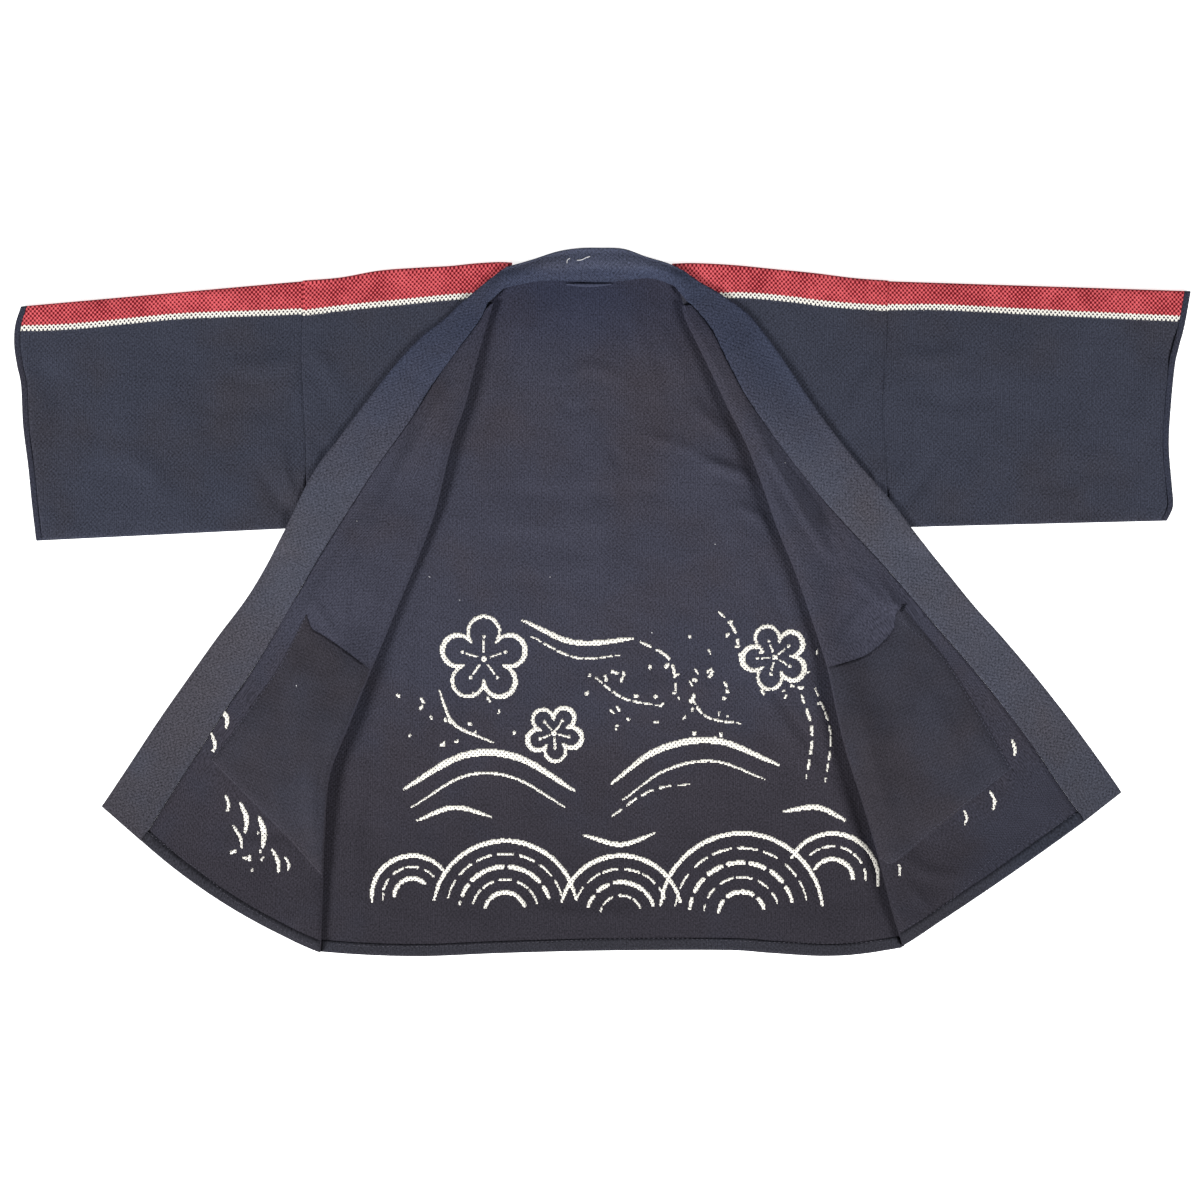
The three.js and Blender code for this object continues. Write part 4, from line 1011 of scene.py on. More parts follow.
def pocket_piece(pocket, side, front, name, node):
    across, down = np.meshgrid(np.linspace(0, 1, 45) ** 1.5, np.linspace(0, 1, 70))
    plan = patch_plan(pocket, side, across, down)
    ground = height_on(tree_of(front), plan[..., 0], plan[..., 1])
    sewn_down = ease(np.minimum((1 - across) * 0.12, (1 - down) * 0.22) / 0.010)
    body = (0.12 + 0.88 * sewn_down) * (0.22 + 0.78 * ease(down / 0.05))
    mouth = 0.0001 * np.exp(-down / 0.03) * np.sin(np.pi * np.clip(across, 0, 1)) ** 0.6
    sag = rumple(plan[..., 0] * 1.4, plan[..., 1] * 1.4, 0.0004) * ease(down / 0.10)
    loose = ease(across / 0.05) * mix(0.2, 1, sewn_down) * mix(0.3, 1, ease(down / 0.06))
    under = ground + SKIM + (SEAM_GAP + mouth + sag) * loose
    over = under + PATCH * body
    cos = np.cos(pocket["turn"])
    sin = np.sin(pocket["turn"])
    uv = np.stack([plan[..., 0] * cos - plan[..., 1] * sin, plan[..., 0] * sin + plan[..., 1] * cos], -1)
    piece = shell(name, np.dstack([plan, over]), np.dstack([plan, under]), uv)
    return finish_piece(piece, [pocket_cloth, pocket_cloth], node)


pocket_cloth = fabric("pocket_cotton", tone(48, 47, 54), knot=0.05, rib=0.10, grain=1.8)
pocket_left = pocket_piece(POCKET_LEFT, LEFT, front_left, "pocket_left_patch", "pocket_left")
pocket_right = pocket_piece(POCKET_RIGHT, RIGHT, front_right, "pocket_right_patch", "pocket_right")

# ---------------------------------------------------------------------------------------------------
# Hems: the lower edges of the back and of both fronts are turned up to the inside and sewn with one line
# of running stitches. On the fronts the strip follows the slanting edge of the flap.
HEM = 0.0012
HEM_WIDTH = 0.013
HEM_FROM = -0.3040
HEM_TO = (0.3190, 0.3232)
hem_cloth = fabric("hem_cotton", tone(42, 43, 50))


def strip_piece(name, node, plan, ground, uv):
    """A turned-up strip: rows run from its free edge (0) to the bottom edge (1) of the panel."""
    down = np.linspace(0, 1, plan.shape[0])[:, None]
    body = 0.18 + 0.82 * ease(np.minimum(down, 1 - down) / 0.10)
    wave = 0.00025 * np.sin(plan[..., 0] / 0.006 + 2 * np.sin(plan[..., 0] / 0.031))
    under = ground + SKIM + SEAM_GAP * ease(down / 0.2)
    over = under + HEM * body + wave * ease(np.minimum(down, 1 - down) / 0.3)
    piece = shell(name, np.dstack([plan, over]), np.dstack([plan, under]), uv)
    return finish_piece(piece, [hem_cloth, hem_cloth], node)


def front_hem(side, front, name, node):
    """The strip of a front starts on the outside of its roll and ends at the collar seam."""
    last = len(side["front"]) - 1
    shares = np.concatenate([np.linspace(-0.98, 0, 7)[:-1], np.linspace(0, 1, 74)])
    level, share = np.meshgrid(np.linspace(last - 1, last, 9), shares, indexing="ij")
    line = fold_line(side, level)
    on_roll = line["point"] + line["to_seam"] * (line["roll"] * (1 + share))[..., None]
    flat_part = on_flap(side, level, np.maximum(share, 0))[0][..., :2]
    plan = np.where(share[..., None] < 0, on_roll, flat_part)
    ground = height_on(tree_of(front), plan[..., 0], plan[..., 1])
    piece = strip_piece(name, node, plan, ground, np.stack([share * 0.23, level * HEM_WIDTH], -1))
    return piece


hem_left = front_hem(LEFT, front_left, "hem_left_strip", "hem_left")
hem_right = front_hem(RIGHT, front_right, "hem_right_strip", "hem_right")
down, across = np.meshgrid(np.linspace(0, 1, 9), np.linspace(0, 1, 180), indexing="ij")
hem_x = mix(HEM_FROM, mix(*HEM_TO, down), across)
hem_y = crossing(BACK_HEM, hem_x) + 0.0002 + HEM_WIDTH * (1 - down)
hem_plan = np.stack([hem_x, hem_y], -1)
hem_ground = height_on(back_surface, hem_x, hem_y)
hem_back = strip_piece("hem_back_strip", "hem_back", hem_plan, hem_ground, hem_plan)

# ---------------------------------------------------------------------------------------------------
# Print on the insides of both flaps: short white strokes beside and below each pocket, in the same resist
# white as the figures of the back and laid into the cloth in the same way.
FLAP_STROKES_LEFT = rows_of("line width dash", [
    ([(-0.411, -0.115), (-0.405, -0.126), (-0.406, -0.136)], 0.0046, 0),
    ([(-0.422, -0.142), (-0.418, -0.154), (-0.42, -0.162)], 0.004, 0),
    ([(-0.39, -0.218), (-0.384, -0.233), (-0.385, -0.248)], 0.0052, 0),
    ([(-0.37, -0.233), (-0.365, -0.248), (-0.366, -0.264)], 0.006, 0),
    ([(-0.398, -0.242), (-0.39, -0.256), (-0.389, -0.266)], 0.0034, 0),
    ([(-0.356, -0.268), (-0.35, -0.28), (-0.349, -0.292)], 0.004, 0),
    ([(-0.342, -0.276), (-0.338, -0.283), (-0.339, -0.289)], 0.003, 0),
    ([(-0.406, -0.21), (-0.403, -0.219), (-0.405, -0.226)], 0.0034, 0),
])
FLAP_STROKES_RIGHT = rows_of("line width dash", [
    ([(0.442, -0.15), (0.445, -0.159), (0.444, -0.167)], 0.0036, 0),
    ([(0.418, -0.205), (0.423, -0.215), (0.421, -0.224)], 0.0032, 0),
    ([(0.39, -0.226), (0.393, -0.233), (0.391, -0.24)], 0.0028, 0),
    ([(0.319, -0.283), (0.32, -0.288), (0.3195, -0.294)], 0.0026, 0),
])


def flap_print(name, rows, front, drops):
    strokes = []
    for row in rows:
        strokes += dashes(row["line"], row["width"], row["dash"])
    return print_piece(name, strokes + drops, tree_of(front), FLAP_PRINT_LOWEST)


flap_print("front_left_print", FLAP_STROKES_LEFT, front_left, spray((-0.42, -0.29, -0.36, -0.24), 7, 5))
flap_print("front_right_print", FLAP_STROKES_RIGHT, front_right, [])

# ---------------------------------------------------------------------------------------------------
# Sleeves: straight tubes of the same cotton, sewn to the body at the armhole, pressed flat along the
# shoulder and the underarm. The stripe runs on to the cuff, a little out of line at the seam, and a narrow
# binding edges each cuff.
SLEEVE_FLAT = 56
SLEEVE_RUMPLE = 0.0010
CUFF_WIDTH = 0.0065
CUFF_ROWS = 6
SEAM_LINE = 0.00005
RED_SLEEVE_LEFT = [
    (-0.636, 0.2968), (-0.6248, 0.2975), (-0.5859, 0.2986), (-0.5427, 0.3019), (-0.4563, 0.3105),
    (-0.3699, 0.3137), (-0.32, 0.316),
]
RED_SLEEVE_RIGHT = [
    (0.3, 0.3205), (0.3213, 0.3202), (0.3645, 0.3202), (0.4509, 0.3159), (0.5373, 0.3116),
    (0.6129, 0.3083), (0.636, 0.307),
]
SLEEVE_CREASES = rows_of("line half rise", [
    ([(-0.33, 0.086), (-0.352, 0.112), (-0.372, 0.152)], 0.012, -0.0021),
    ([(-0.328, 0.104), (-0.34, 0.132), (-0.346, 0.172)], 0.01, 0.0023),
    ([(-0.332, 0.262), (-0.366, 0.252), (-0.402, 0.256)], 0.016, 0.0017),
    ([(-0.336, 0.226), (-0.38, 0.206), (-0.43, 0.214)], 0.02, -0.0013),
    ([(-0.42, 0.3), (-0.428, 0.226), (-0.42, 0.152)], 0.022, -0.0014),
    ([(-0.47, 0.11), (-0.5, 0.15), (-0.56, 0.16)], 0.02, 0.0016),
    ([(-0.52, 0.28), (-0.512, 0.21), (-0.52, 0.14)], 0.026, 0.0016),
    ([(-0.602, 0.262), (-0.588, 0.21), (-0.592, 0.15)], 0.018, -0.0014),
    ([(0.318, 0.1), (0.342, 0.126), (0.362, 0.166)], 0.012, -0.002),
    ([(0.316, 0.12), (0.328, 0.15), (0.33, 0.19)], 0.01, 0.0022),
    ([(0.322, 0.27), (0.352, 0.262), (0.392, 0.268)], 0.016, 0.0018),
    ([(0.33, 0.23), (0.38, 0.216), (0.44, 0.226)], 0.02, -0.0013),
    ([(0.43, 0.3), (0.44, 0.226), (0.432, 0.16)], 0.024, 0.0014),
    ([(0.47, 0.12), (0.52, 0.14), (0.57, 0.13)], 0.02, -0.0013),
    ([(0.53, 0.3), (0.52, 0.226), (0.53, 0.15)], 0.024, -0.0014),
    ([(0.596, 0.262), (0.584, 0.216), (0.59, 0.16)], 0.016, 0.0017),
])


def sleeve_rings(side, shares, back_off):
    """Loops round the flattened tube, outer and inner, at shares of the way from armhole to cuff."""
    middle = SHOULDER_ROLL + CLOTH / 2
    flat = np.linspace(0, 1, SLEEVE_FLAT + 1)
    turns = np.radians(np.linspace(0, 180, 9)[1:-1])

    def plan(t, share):
        y = mix(side["shoulder"][0][1], side["underarm"][1], t)
        start = np.stack([crossing(side["armhole"], y, 1) + side["sign"] * SEAM_LINE, y], -1)
        end = along(side["cuff"], t * (len(side["cuff"]) - 1))
        length = np.linalg.norm(end - start, axis=-1, keepdims=True)
        return mix(start, end, share * (1 - back_off / length) if back_off >= 0 else 1 + share / length)

    loops = {"over": [], "under": []}
    places = []
    for share in shares:
        span = np.linalg.norm(np.subtract(*plan(np.array([0.0, 1.0]), share)))
        for name, radius in (("over", middle), ("under", SHOULDER_ROLL - CLOTH / 2)):
            level = mix(middle / span, 1 - middle / span, flat)
            low_turn = 1 - middle / span + radius * np.sin(turns) / span
            top_turn = middle / span - radius * np.sin(turns) / span
            t = np.concatenate([level, low_turn, level[::-1], top_turn])
            high = np.full(level.shape, radius)
            z = middle + np.concatenate([high, radius * np.cos(turns), -high, -radius * np.cos(turns)])
            loops[name].append(np.concatenate([plan(t, share), z[:, None]], 1))
        places.append(t)
    return np.array(loops["over"]), np.array(loops["under"]), np.array(places)


def sleeve_piece(side, red_line, name, node):
    shares = np.linspace(0, 1, 84) ** 1.15
    over, under, t = sleeve_rings(side, shares, CUFF_WIDTH + SEAM_GAP)
    x = over[..., 0]
    y = over[..., 1]
    column = np.arange(over.shape[1])[None, :]
    top = (column <= SLEEVE_FLAT) * ease(np.minimum(t, 1 - t) / 0.05)
    from_seam = side["sign"] * (x - crossing(side["armhole"], y, 1))
    pinch = seam_pinch(from_seam, y, 0.0008, 0.0016)
    lift = top * (creases(SLEEVE_CREASES, x, y) + rumple(x, y, SLEEVE_RUMPLE) - pinch)
    over[..., 2] += lift
    under[..., 2] += lift
    red = crossing(red_line, x)
    piece = shell(name, over, under, np.stack([x, y - red + 0.325], -1), ring=True, stripe=red - y)
    finish_piece(piece, [outside_cloth, inside_cloth], node)


def cuff_piece(side, name, node):
    over, under, t = sleeve_rings(side, np.linspace(-CUFF_WIDTH, -0.00001, CUFF_ROWS), -1)
    swell = 0.0003 * np.sin(np.pi * np.linspace(0, 1, CUFF_ROWS))[:, None]
    column = np.arange(over.shape[1])[None, :]
    over[..., 2] += swell * (column <= SLEEVE_FLAT) * ease(np.minimum(t, 1 - t) / 0.05)
    piece = shell(name, over, under, over[..., :2], ring=True)
    finish_piece(piece, [binding_cloth, binding_cloth], node)


binding_cloth = fabric("binding_cotton", tone(46, 47, 57))
sleeve_piece(LEFT, RED_SLEEVE_LEFT, "sleeve_left_tube", "sleeve_left")
sleeve_piece(RIGHT, RED_SLEEVE_RIGHT, "sleeve_right_tube", "sleeve_right")
cuff_piece(LEFT, "cuff_left_binding", "cuff_left")
cuff_piece(RIGHT, "cuff_right_binding", "cuff_right")

# ---------------------------------------------------------------------------------------------------
# Collar: one long band of twilled cotton folded over a core, sewn to both flaps and round the nape.
# It runs from hem to hem, and arches a little where it turns at the back of the neck.
BAND = 0.0032
BAND_POINTS = 18
COLLAR_LEFT = [
    (-0.1247, 0.345), (-0.1517, 0.3224), (-0.1712, 0.304), (-0.1971, 0.2835), (-0.2241, 0.2543),
    (-0.2479, 0.2241), (-0.2857, 0.1744), (-0.3137, 0.1355), (-0.3451, 0.0718), (-0.3796, 0.0103),
    (-0.4163, -0.0394), (-0.4509, -0.088), (-0.4795, -0.129), (-0.5044, -0.1669), (-0.533, -0.21),
    (-0.5405, -0.2209),
]
COLLAR_RIGHT = [
    (0.1053, 0.344), (0.128, 0.331), (0.155, 0.3116), (0.1744, 0.289), (0.1993, 0.2543),
    (0.222, 0.2198), (0.2479, 0.184), (0.276, 0.1485), (0.3073, 0.113), (0.3397, 0.0707),
    (0.3731, 0.0297), (0.4012, -0.0049), (0.4304, -0.0373), (0.466, -0.0794), (0.5027, -0.1258),
    (0.5351, -0.17), (0.5535, -0.196), (0.56, -0.2057),
]
# Round the nape: free edge in plan, heights at the seam and at the edge, and the arch between them
NAPE = rows_of("edge low high arch", [
    ((-0.1042, 0.3602), 0.006, 0.007, 0.003),
    ((-0.0761, 0.3688), 0.0034, 0.002, 0.004),
    ((-0.0502, 0.3775), 0.0019, 0.0004, 0.0035),
    ((-0.0265, 0.3814), 0.0018, 0.0, 0.003),
    ((-0.0027, 0.3819), 0.0018, 0.0, 0.003),
    ((0.0232, 0.3807), 0.0018, 0.0, 0.0035),
    ((0.047, 0.3721), 0.003, 0.0018, 0.0035),
    ((0.0707, 0.3645), 0.0048, 0.0056, 0.004),
    ((0.088, 0.356), 0.0064, 0.0068, 0.003),
])
NAPE_LAP = 0.0018
NAPE_SOFT = 0.010
COLLAR_CREASES = rows_of("line half rise", [
    ([(-0.262, 0.112), (-0.272, 0.106), (-0.282, 0.108)], 0.008, 0.0012),
    ([(-0.196, 0.236), (-0.206, 0.246), (-0.214, 0.262)], 0.01, -0.0006),
    ([(-0.33, 0.032), (-0.344, 0.036), (-0.358, 0.046)], 0.012, 0.0006),
    ([(-0.412, -0.086), (-0.424, -0.08), (-0.438, -0.066)], 0.014, -0.0006),
    ([(0.246, 0.118), (0.256, 0.132), (0.262, 0.146)], 0.009, 0.001),
    ([(0.236, 0.128), (0.246, 0.142), (0.252, 0.158)], 0.007, -0.0008),
    ([(0.14, 0.262), (0.152, 0.276), (0.166, 0.286)], 0.01, 0.0006),
    ([(0.352, 0.002), (0.362, 0.018), (0.372, 0.026)], 0.012, -0.0006),
    ([(0.436, -0.092), (0.448, -0.078), (0.456, -0.072)], 0.012, 0.0006),
])


BAND_SHARES = (1 - np.cos(np.pi * np.linspace(0, 1, BAND_POINTS))) / 2


def collar_side(side, edge_line):
    """Cross rows of the band along one flap, from the neck to the hem."""
    last = len(side["front"]) - 1
    level = np.linspace(0, last, last * LEVEL_STEPS + 1)
    seam = along([row["seam"] for row in side["front"]], level)
    edge = along(edge_line, level)
    flap_end = on_flap(side, level, np.ones(level.shape))[0]
    width = np.linalg.norm(edge - seam, axis=-1, keepdims=True)
    start = mix(seam, edge, SEAM_LINE / width)
    rest = bed(side, flap_end[:, 0], flap_end[:, 1])
    lift = np.maximum(0, flap_end[:, 2] - CLOTH / 2 - LOOSE_GAP - rest)
    u = BAND_SHARES
    plan = mix(start[:, None], edge[:, None], u[None, :, None])
    ground = bed(side, plan[..., 0], plan[..., 1])
    z = ground + LOOSE_GAP + BAND / 2 + lift[:, None] * (1 - ease(u))[None, :]
    return np.dstack([plan, z])


def collar_piece():
    at = np.linspace(0, len(NAPE) - 1, 60)
    u = BAND_SHARES
    round_neck = ease(np.minimum(at, at[-1] - at) / 0.9)
    seam = along(NECKLINE[1:-1], at)
    seam[:, 1] -= NAPE_LAP * round_neck
    edge = along([row["edge"] for row in NAPE], at)
    plan = mix(seam[:, None], edge[:, None], u[None, :, None])
    low, high, arch = (along([row[key] for row in NAPE], at)[:, None] for key in ("low", "high", "arch"))
    open_slit = 0.0012 * np.exp(-(((seam[:, :1] + 0.0145) / 0.016) ** 2)) * (1 - ease(u / 0.4))[None, :]
    bulge = np.sin(np.pi * np.minimum(u / 0.85, 1) ** 1.15)
    rise = mix(low, high, u[None, :]) + BAND / 2 + arch * bulge[None, :] + open_slit
    nape = np.dstack([plan, rise])
    left_band = collar_side(LEFT, COLLAR_LEFT)[::-1]
    right_band = collar_side(RIGHT, COLLAR_RIGHT)
    middle = np.concatenate([left_band, nape, right_band])
    neck_soft = np.concatenate([np.zeros(len(left_band)), round_neck, np.zeros(len(right_band))])[:, None]
    x = middle[..., 0]
    y = middle[..., 1]
    inland = (4 * u * (1 - u))[None, :] ** 0.5
    middle[..., 2] += inland * (creases(COLLAR_CREASES, x, y) + rumple(x, y, 0.0006))
    steps = np.linalg.norm(np.diff(middle[:, BAND_POINTS // 2], axis=0), axis=-1)
    run = np.concatenate([[0], np.cumsum(steps)])
    middle[..., 2] += 0.0002 * np.sin(run / 0.0021)[:, None] * np.exp(-u / 0.10)[None, :]
    normal = surface_normals(middle)
    normal *= np.sign(normal[20, 8, 2])
    width = np.linalg.norm(middle[:, -1] - middle[:, 0], axis=-1, keepdims=True)
    to_edge = np.minimum(u, 1 - u)[None, :] * width
    half = BAND / 2 * np.sqrt(1 - (1 - np.clip(to_edge / (BAND / 2), 0.004, 1)) ** 2)
    feather = BAND / 2 * np.clip(ease(u[None, :] * width / NAPE_SOFT), 0.05, 1)
    thin = np.minimum(half, feather)
    half = mix(half, thin, neck_soft)
    over = middle + normal * half[..., None]
    under = middle - normal * half[..., None]
    sunk = (BAND / 2 - half) * neck_soft * (1 - ease((u - 0.4) / 0.2))[None, :]
    over[..., 2] -= sunk
    under[..., 2] -= sunk
    under[..., 2] = np.maximum(under[..., 2], 0)
    uv = np.stack([u[None, :] * width, run[:, None] + 0 * x], -1)
    piece = shell("collar_band", over, under, uv)
    finish_piece(piece, [collar_cloth, collar_cloth], "collar")
    return piece


# The collar's twill carries painted shade toward the neck and a painted highlight on its crest behind the
# neck.
collar_cloth = fabric(
    "collar_twill", tone(66, 66, 74), 0.13, 0.18, 2.4, twill=True, hem=0.40, neck=0.42, below=0.08, crest_highlight=1.00
)
collar = collar_piece()

# ---------------------------------------------------------------------------------------------------
# Hanging loop: a narrow strip of the binding cotton, folded to about half its width and caught at both ends
# under the nape seam, so that its middle stands a little off the back.
LOOP = {"from": -0.039, "to": 0.010, "y": 0.3416, "width": 0.0039, "thick": 0.0012, "rise": 0.0022}
loop_t, loop_u = np.meshgrid(np.linspace(0, 1, 40), np.linspace(0, 1, 9), indexing="ij")
loop_x = mix(LOOP["from"], LOOP["to"], loop_t)
loop_lens = 0.42 + 0.58 * np.sin(np.pi * loop_t)
loop_y = LOOP["y"] + LOOP["width"] * (0.5 - 0.15 * loop_lens - 0.95 * loop_u * loop_lens)
loop_z = CLOTH + SEAM_GAP + LOOP["rise"] * np.sin(np.pi * loop_t)
loop_body = LOOP["thick"] * (0.35 + 0.65 * np.sin(np.pi * np.clip(loop_u, 0, 1)) ** 0.5)
loop_under = np.stack([loop_x, loop_y, loop_z], -1)
loop_over = np.stack([loop_x, loop_y, loop_z + loop_body], -1)
loop = shell("hanging_loop", loop_over, loop_under, np.stack([loop_x, loop_y], -1))
loop_cloth = fabric("loop_cotton", tone(58, 60, 74), knot=0.05, rib=0.08, grain=1.2)
finish_piece(loop, [loop_cloth, loop_cloth], "hanger_loop")

# ---------------------------------------------------------------------------------------------------
# Sewing: running stitches of dark cotton thread along the turned hems and round the pockets, each a small
# raised bead on the cloth.
hem_thread = fabric("sewing_thread", tone(74, 74, 84), knot=0.0, rib=0.0, grain=0.2)
tack_thread = fabric("tack_thread", tone(36, 37, 44), knot=0.0, rib=0.0, grain=0.2)
STITCH_LENGTH = 0.0028
STITCH_THICK = 0.0007
HEM_PITCH = 0.0052
POCKET_PITCH = 0.0046
HEM_SEAMS = [
    [(-0.49, -0.2495), (-0.43, -0.2943), (-0.4023, -0.319), (-0.3677, -0.3386), (-0.3354, -0.3602),
     (-0.3137, -0.369)],
    [(-0.2835, -0.37), (-0.229, -0.3722), (-0.154, -0.371), (0.0405, -0.3634), (0.1917, -0.368),
     (0.268, -0.3685), (0.3, -0.3655)],
    [(0.3213, -0.354), (0.3537, -0.3365), (0.3861, -0.314), (0.4206, -0.2781), (0.4725, -0.2522),
     (0.5092, -0.2295)],
]
POCKET_SEAMS = [
    [(-0.321, -0.019), (-0.3467, -0.0686), (-0.3834, -0.1216), (-0.4205, -0.17)],
    [(-0.42, -0.1722), (-0.375, -0.216), (-0.332, -0.26), (-0.305, -0.29)],
    [(0.32, -0.019), (0.3675, -0.0625), (0.4005, -0.1136), (0.439, -0.179)],
    [(0.4385, -0.1812), (0.388, -0.2195), (0.3165, -0.2762), (0.299, -0.276)],
]


def stitch_tree():
    """Beads laid end to end along a path, with a gap between them."""
    tree = bpy.data.node_groups.new("running_stitch", "GeometryNodeTree")
    face = tree.interface
    face.new_socket("Path", in_out="INPUT", socket_type="NodeSocketGeometry")
    for name in ("Pitch", "Length", "Thickness"):
        face.new_socket(name, in_out="INPUT", socket_type="NodeSocketFloat")
    face.new_socket("Thread", in_out="INPUT", socket_type="NodeSocketMaterial")
    face.new_socket("Stitches", in_out="OUTPUT", socket_type="NodeSocketGeometry")
    start = tree.nodes.new("NodeGroupInput")
    end = tree.nodes.new("NodeGroupOutput")
    curve = place(tree, "GeometryNodeMeshToCurve", start.outputs["Path"])
    spots = place(tree, "GeometryNodeCurveToPoints", mode="LENGTH")
    tree.links.new(curve.outputs[0], spots.inputs["Curve"])
    tree.links.new(start.outputs["Pitch"], spots.inputs["Length"])
    turn = tree.nodes.new("FunctionNodeAlignRotationToVector")
    turn.axis = "X"
    tree.links.new(spots.outputs["Tangent"], turn.inputs["Vector"])
    bead = place(tree, "GeometryNodeMeshUVSphere", 6, 4, 0.5)
    size = place(tree, "ShaderNodeCombineXYZ", start.outputs["Length"])
    tree.links.new(start.outputs["Thickness"], size.inputs[1])
    tree.links.new(start.outputs["Thickness"], size.inputs[2])
    shaped = tree.nodes.new("GeometryNodeTransform")
    tree.links.new(bead.outputs[0], shaped.inputs["Geometry"])
    tree.links.new(size.outputs[0], shaped.inputs["Scale"])
    laid = tree.nodes.new("GeometryNodeInstanceOnPoints")
    tree.links.new(spots.outputs["Points"], laid.inputs["Points"])
    tree.links.new(shaped.outputs[0], laid.inputs["Instance"])
    tree.links.new(turn.outputs[0], laid.inputs["Rotation"])
    real = place(tree, "GeometryNodeRealizeInstances", laid.outputs[0])
    painted = tree.nodes.new("GeometryNodeSetMaterial")
    tree.links.new(real.outputs[0], painted.inputs["Geometry"])
    tree.links.new(start.outputs["Thread"], painted.inputs["Material"])
    tree.links.new(painted.outputs[0], end.inputs["Stitches"])
    return tree


def sewn(name, lines, pitch, tree, surface, thread):
    """One mesh of stitches along several lines laid on the cloth."""
    points = []
    edges = []
    for line in lines:
        plan = along(line, np.linspace(0, len(line) - 1, 160))
        heights = height_on(surface, plan[:, 0], plan[:, 1]) + SKIM
        first = len(points)
        points += np.column_stack([plan, heights]).tolist()
        edges += [(k, k + 1) for k in range(first, len(points) - 1)]
    path = bpy.data.meshes.new(name + "_path")
    path.from_pydata(points, edges, [])
    guide = in_scene(name + "_path", path)
    sewing = guide.modifiers.new("stitches", "NODES")
    sewing.node_group = tree
    values = {"Pitch": pitch, "Length": STITCH_LENGTH, "Thickness": STITCH_THICK, "Thread": thread}
    for item in tree.interface.items_tree:
        if item.in_out == "INPUT" and item.name in values:
            sewing[item.identifier] = values[item.name]
    made = guide.evaluated_get(bpy.context.evaluated_depsgraph_get())
    mesh = bpy.data.meshes.new_from_object(made)
    mesh.name = name
    guide.modifiers.remove(sewing)
    bpy.data.objects.remove(guide)
    return finish_piece(in_scene(name, mesh), [])


all_cloth = tree_of(back, front_left, front_right, pocket_left, pocket_right, hem_left, hem_right, hem_back)
running = stitch_tree()
sewn("hem_stitches", HEM_SEAMS, HEM_PITCH, running, all_cloth, hem_thread)
sewn("pocket_stitches", POCKET_SEAMS, POCKET_PITCH, running, all_cloth, hem_thread)

# ---------------------------------------------------------------------------------------------------
# Loose ends: a short curled white thread left on the collar at the nape, small pale fibres that cling to the
# coarse cloth, and the dark threads that tack the corner of the right pocket's mouth.
THREADS = [
    [(-0.0383, 0.3645), (-0.0378, 0.368), (-0.0351, 0.3699)],
    [(-0.0275, 0.3677), (-0.0235, 0.368), (-0.0211, 0.3688), (-0.0178, 0.3707), (-0.0135, 0.372)],
]
FIBRES = [
    [(-0.1874, 0.027), (-0.1858, 0.0262)],
    [(-0.1544, 0.002), (-0.1536, 0.001)],
    [(0.196, 0.1496), (0.1968, 0.1488)],
    [(-0.0572, 0.0262), (-0.056, 0.0266)],
    [(0.053, -0.033), (0.0536, -0.0342)],
    [(0.121, 0.062), (0.1222, 0.0616)],
    [(-0.33, -0.09), (-0.3292, -0.0912)],
    [(-0.265, 0.087), (-0.2642, 0.0864)],
]


def thread_piece(name, lines, radius, surface, finish):
    """Fine round threads lying on the cloth, each a closed tube of six sides."""
    points = []
    faces = []
    turns = 2 * np.pi * np.arange(6) / 6
    for line in lines:
        plan = along(line, np.linspace(0, len(line) - 1, 6 * len(line)))
        high = height_on(surface, plan[:, 0], plan[:, 1]) + radius * 0.8
        course = unit(np.gradient(plan, axis=0))
        side = np.stack([-course[:, 1], course[:, 0]], -1)
        first = len(points)
        for spot, level, out in zip(plan, high, side):
            for turn in turns:
                points.append((*(spot + out * radius * np.cos(turn)), level + radius * np.sin(turn)))
        for k in range(len(plan) - 1):
            for j in range(6):
                a = first + 6 * k + j
                b = first + 6 * k + (j + 1) % 6
                faces.append((a, a + 6, b + 6, b))
        faces.append(tuple(range(first, first + 6)))
        faces.append(tuple(range(len(points) - 1, len(points) - 7, -1)))
    mesh = bpy.data.meshes.new(name)
    mesh.from_pydata(points, [], faces)
    mesh.validate()
    return finish_piece(in_scene(name, mesh), [finish])


def thread_material():
    material, tree, shader = new_finish("pale_thread", 0.8)
    where = place(tree, "ShaderNodeTexCoord").outputs["Object"]
    twist = place(tree, "ShaderNodeTexNoise", where, None, 900.0, 1.0).outputs[0]
    tree.links.new(blend(tree, twist, tone(150, 150, 160), tone(236, 236, 236)), shader.inputs["Base Color"])
    return material


TACKS = [
    [(0.3222, -0.0072), (0.327, -0.004)], [(0.3215, -0.009), (0.3262, -0.0066)],
    [(0.3226, -0.004), (0.3282, -0.003)], [(0.3212, -0.011), (0.324, -0.0096)],
]
pale_thread = thread_material()
thread_piece("nape_thread", THREADS, 0.00042, tree_of(collar), pale_thread)
thread_piece("clinging_fibres", FIBRES, 0.00036, all_cloth, pale_thread)
thread_piece("pocket_tack", TACKS, 0.00060, all_cloth, tack_thread)

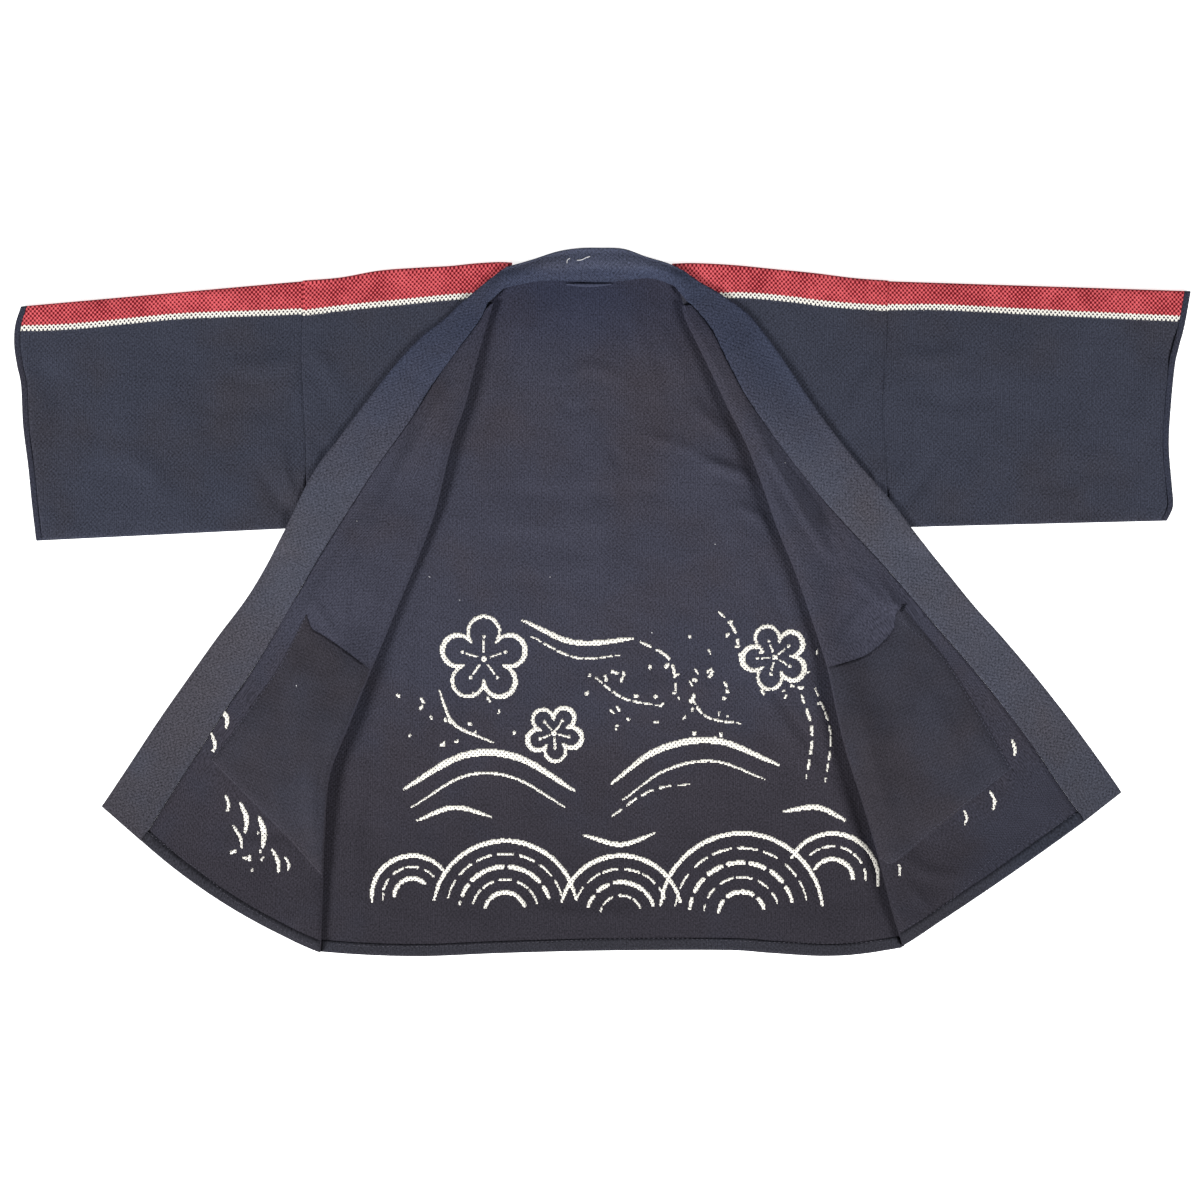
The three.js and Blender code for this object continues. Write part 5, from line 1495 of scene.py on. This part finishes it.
# ---------------------------------------------------------------------------------------------------
# Table, light and camera: a plain pale table, low soft light from the left and the right, a little from the
# hem side, an even pale room, and a long lens straight above the jacket.
VIEW_CENTRE = (-0.0027, 0.0016)
VIEW_WIDTH = 1.296
LENS = 85.0
SENSOR = 36.0
TABLE_GLOW = 0.75
ROOM_LIGHT = 0.21


def pale_table():
    material, _, shader = new_finish("pale_table", 0.8, 0.1)
    shader.inputs["Base Color"].default_value = (0.98, 0.98, 0.98, 1.0)
    shader.inputs["Emission Color"].default_value = (1.0, 1.0, 1.0, 1.0)
    shader.inputs["Emission Strength"].default_value = TABLE_GLOW
    return material


table_mesh = bpy.data.meshes.new("table")
reach = 6.0
table_corners = [(-reach, -reach), (reach, -reach), (reach, reach), (-reach, reach)]
table_mesh.from_pydata([(x, y, -0.0003) for x, y in table_corners], [], [(0, 1, 2, 3)])
table_mesh.materials.append(pale_table())
in_scene("table", table_mesh)


def soft_light(name, stand, size, power):
    """A round soft light that stands at a place and is aimed at the middle of the jacket."""
    light = bpy.data.lights.new(name, "AREA")
    light.shape = "DISK"
    light.size = size
    light.energy = power
    lamp = in_scene(name, light)
    lamp.location = stand
    lamp.rotation_euler = (-Vector(stand)).to_track_quat("-Z", "Y").to_euler()


soft_light("window_light", (-0.3, -4.8, 2.6), 1.8, 45)
soft_light("left_light", (-4.2, -2.0, 2.4), 1.6, 400)
soft_light("right_light", (4.2, -2.0, 2.4), 1.6, 320)

world = bpy.data.worlds.new("room")
world.use_nodes = True
world.node_tree.nodes["Background"].inputs["Color"].default_value = (1.0, 1.0, 1.0, 1.0)
world.node_tree.nodes["Background"].inputs["Strength"].default_value = ROOM_LIGHT
bpy.context.scene.world = world
bpy.context.scene.view_settings.view_transform = "Standard"
bpy.context.scene.view_settings.look = "None"

camera = bpy.data.cameras.new("camera")
camera.lens = LENS
camera.sensor_width = SENSOR
camera.clip_end = 50
eye = in_scene("camera", camera)
eye.location = (*VIEW_CENTRE, VIEW_WIDTH * LENS / SENSOR)
bpy.context.scene.camera = eye
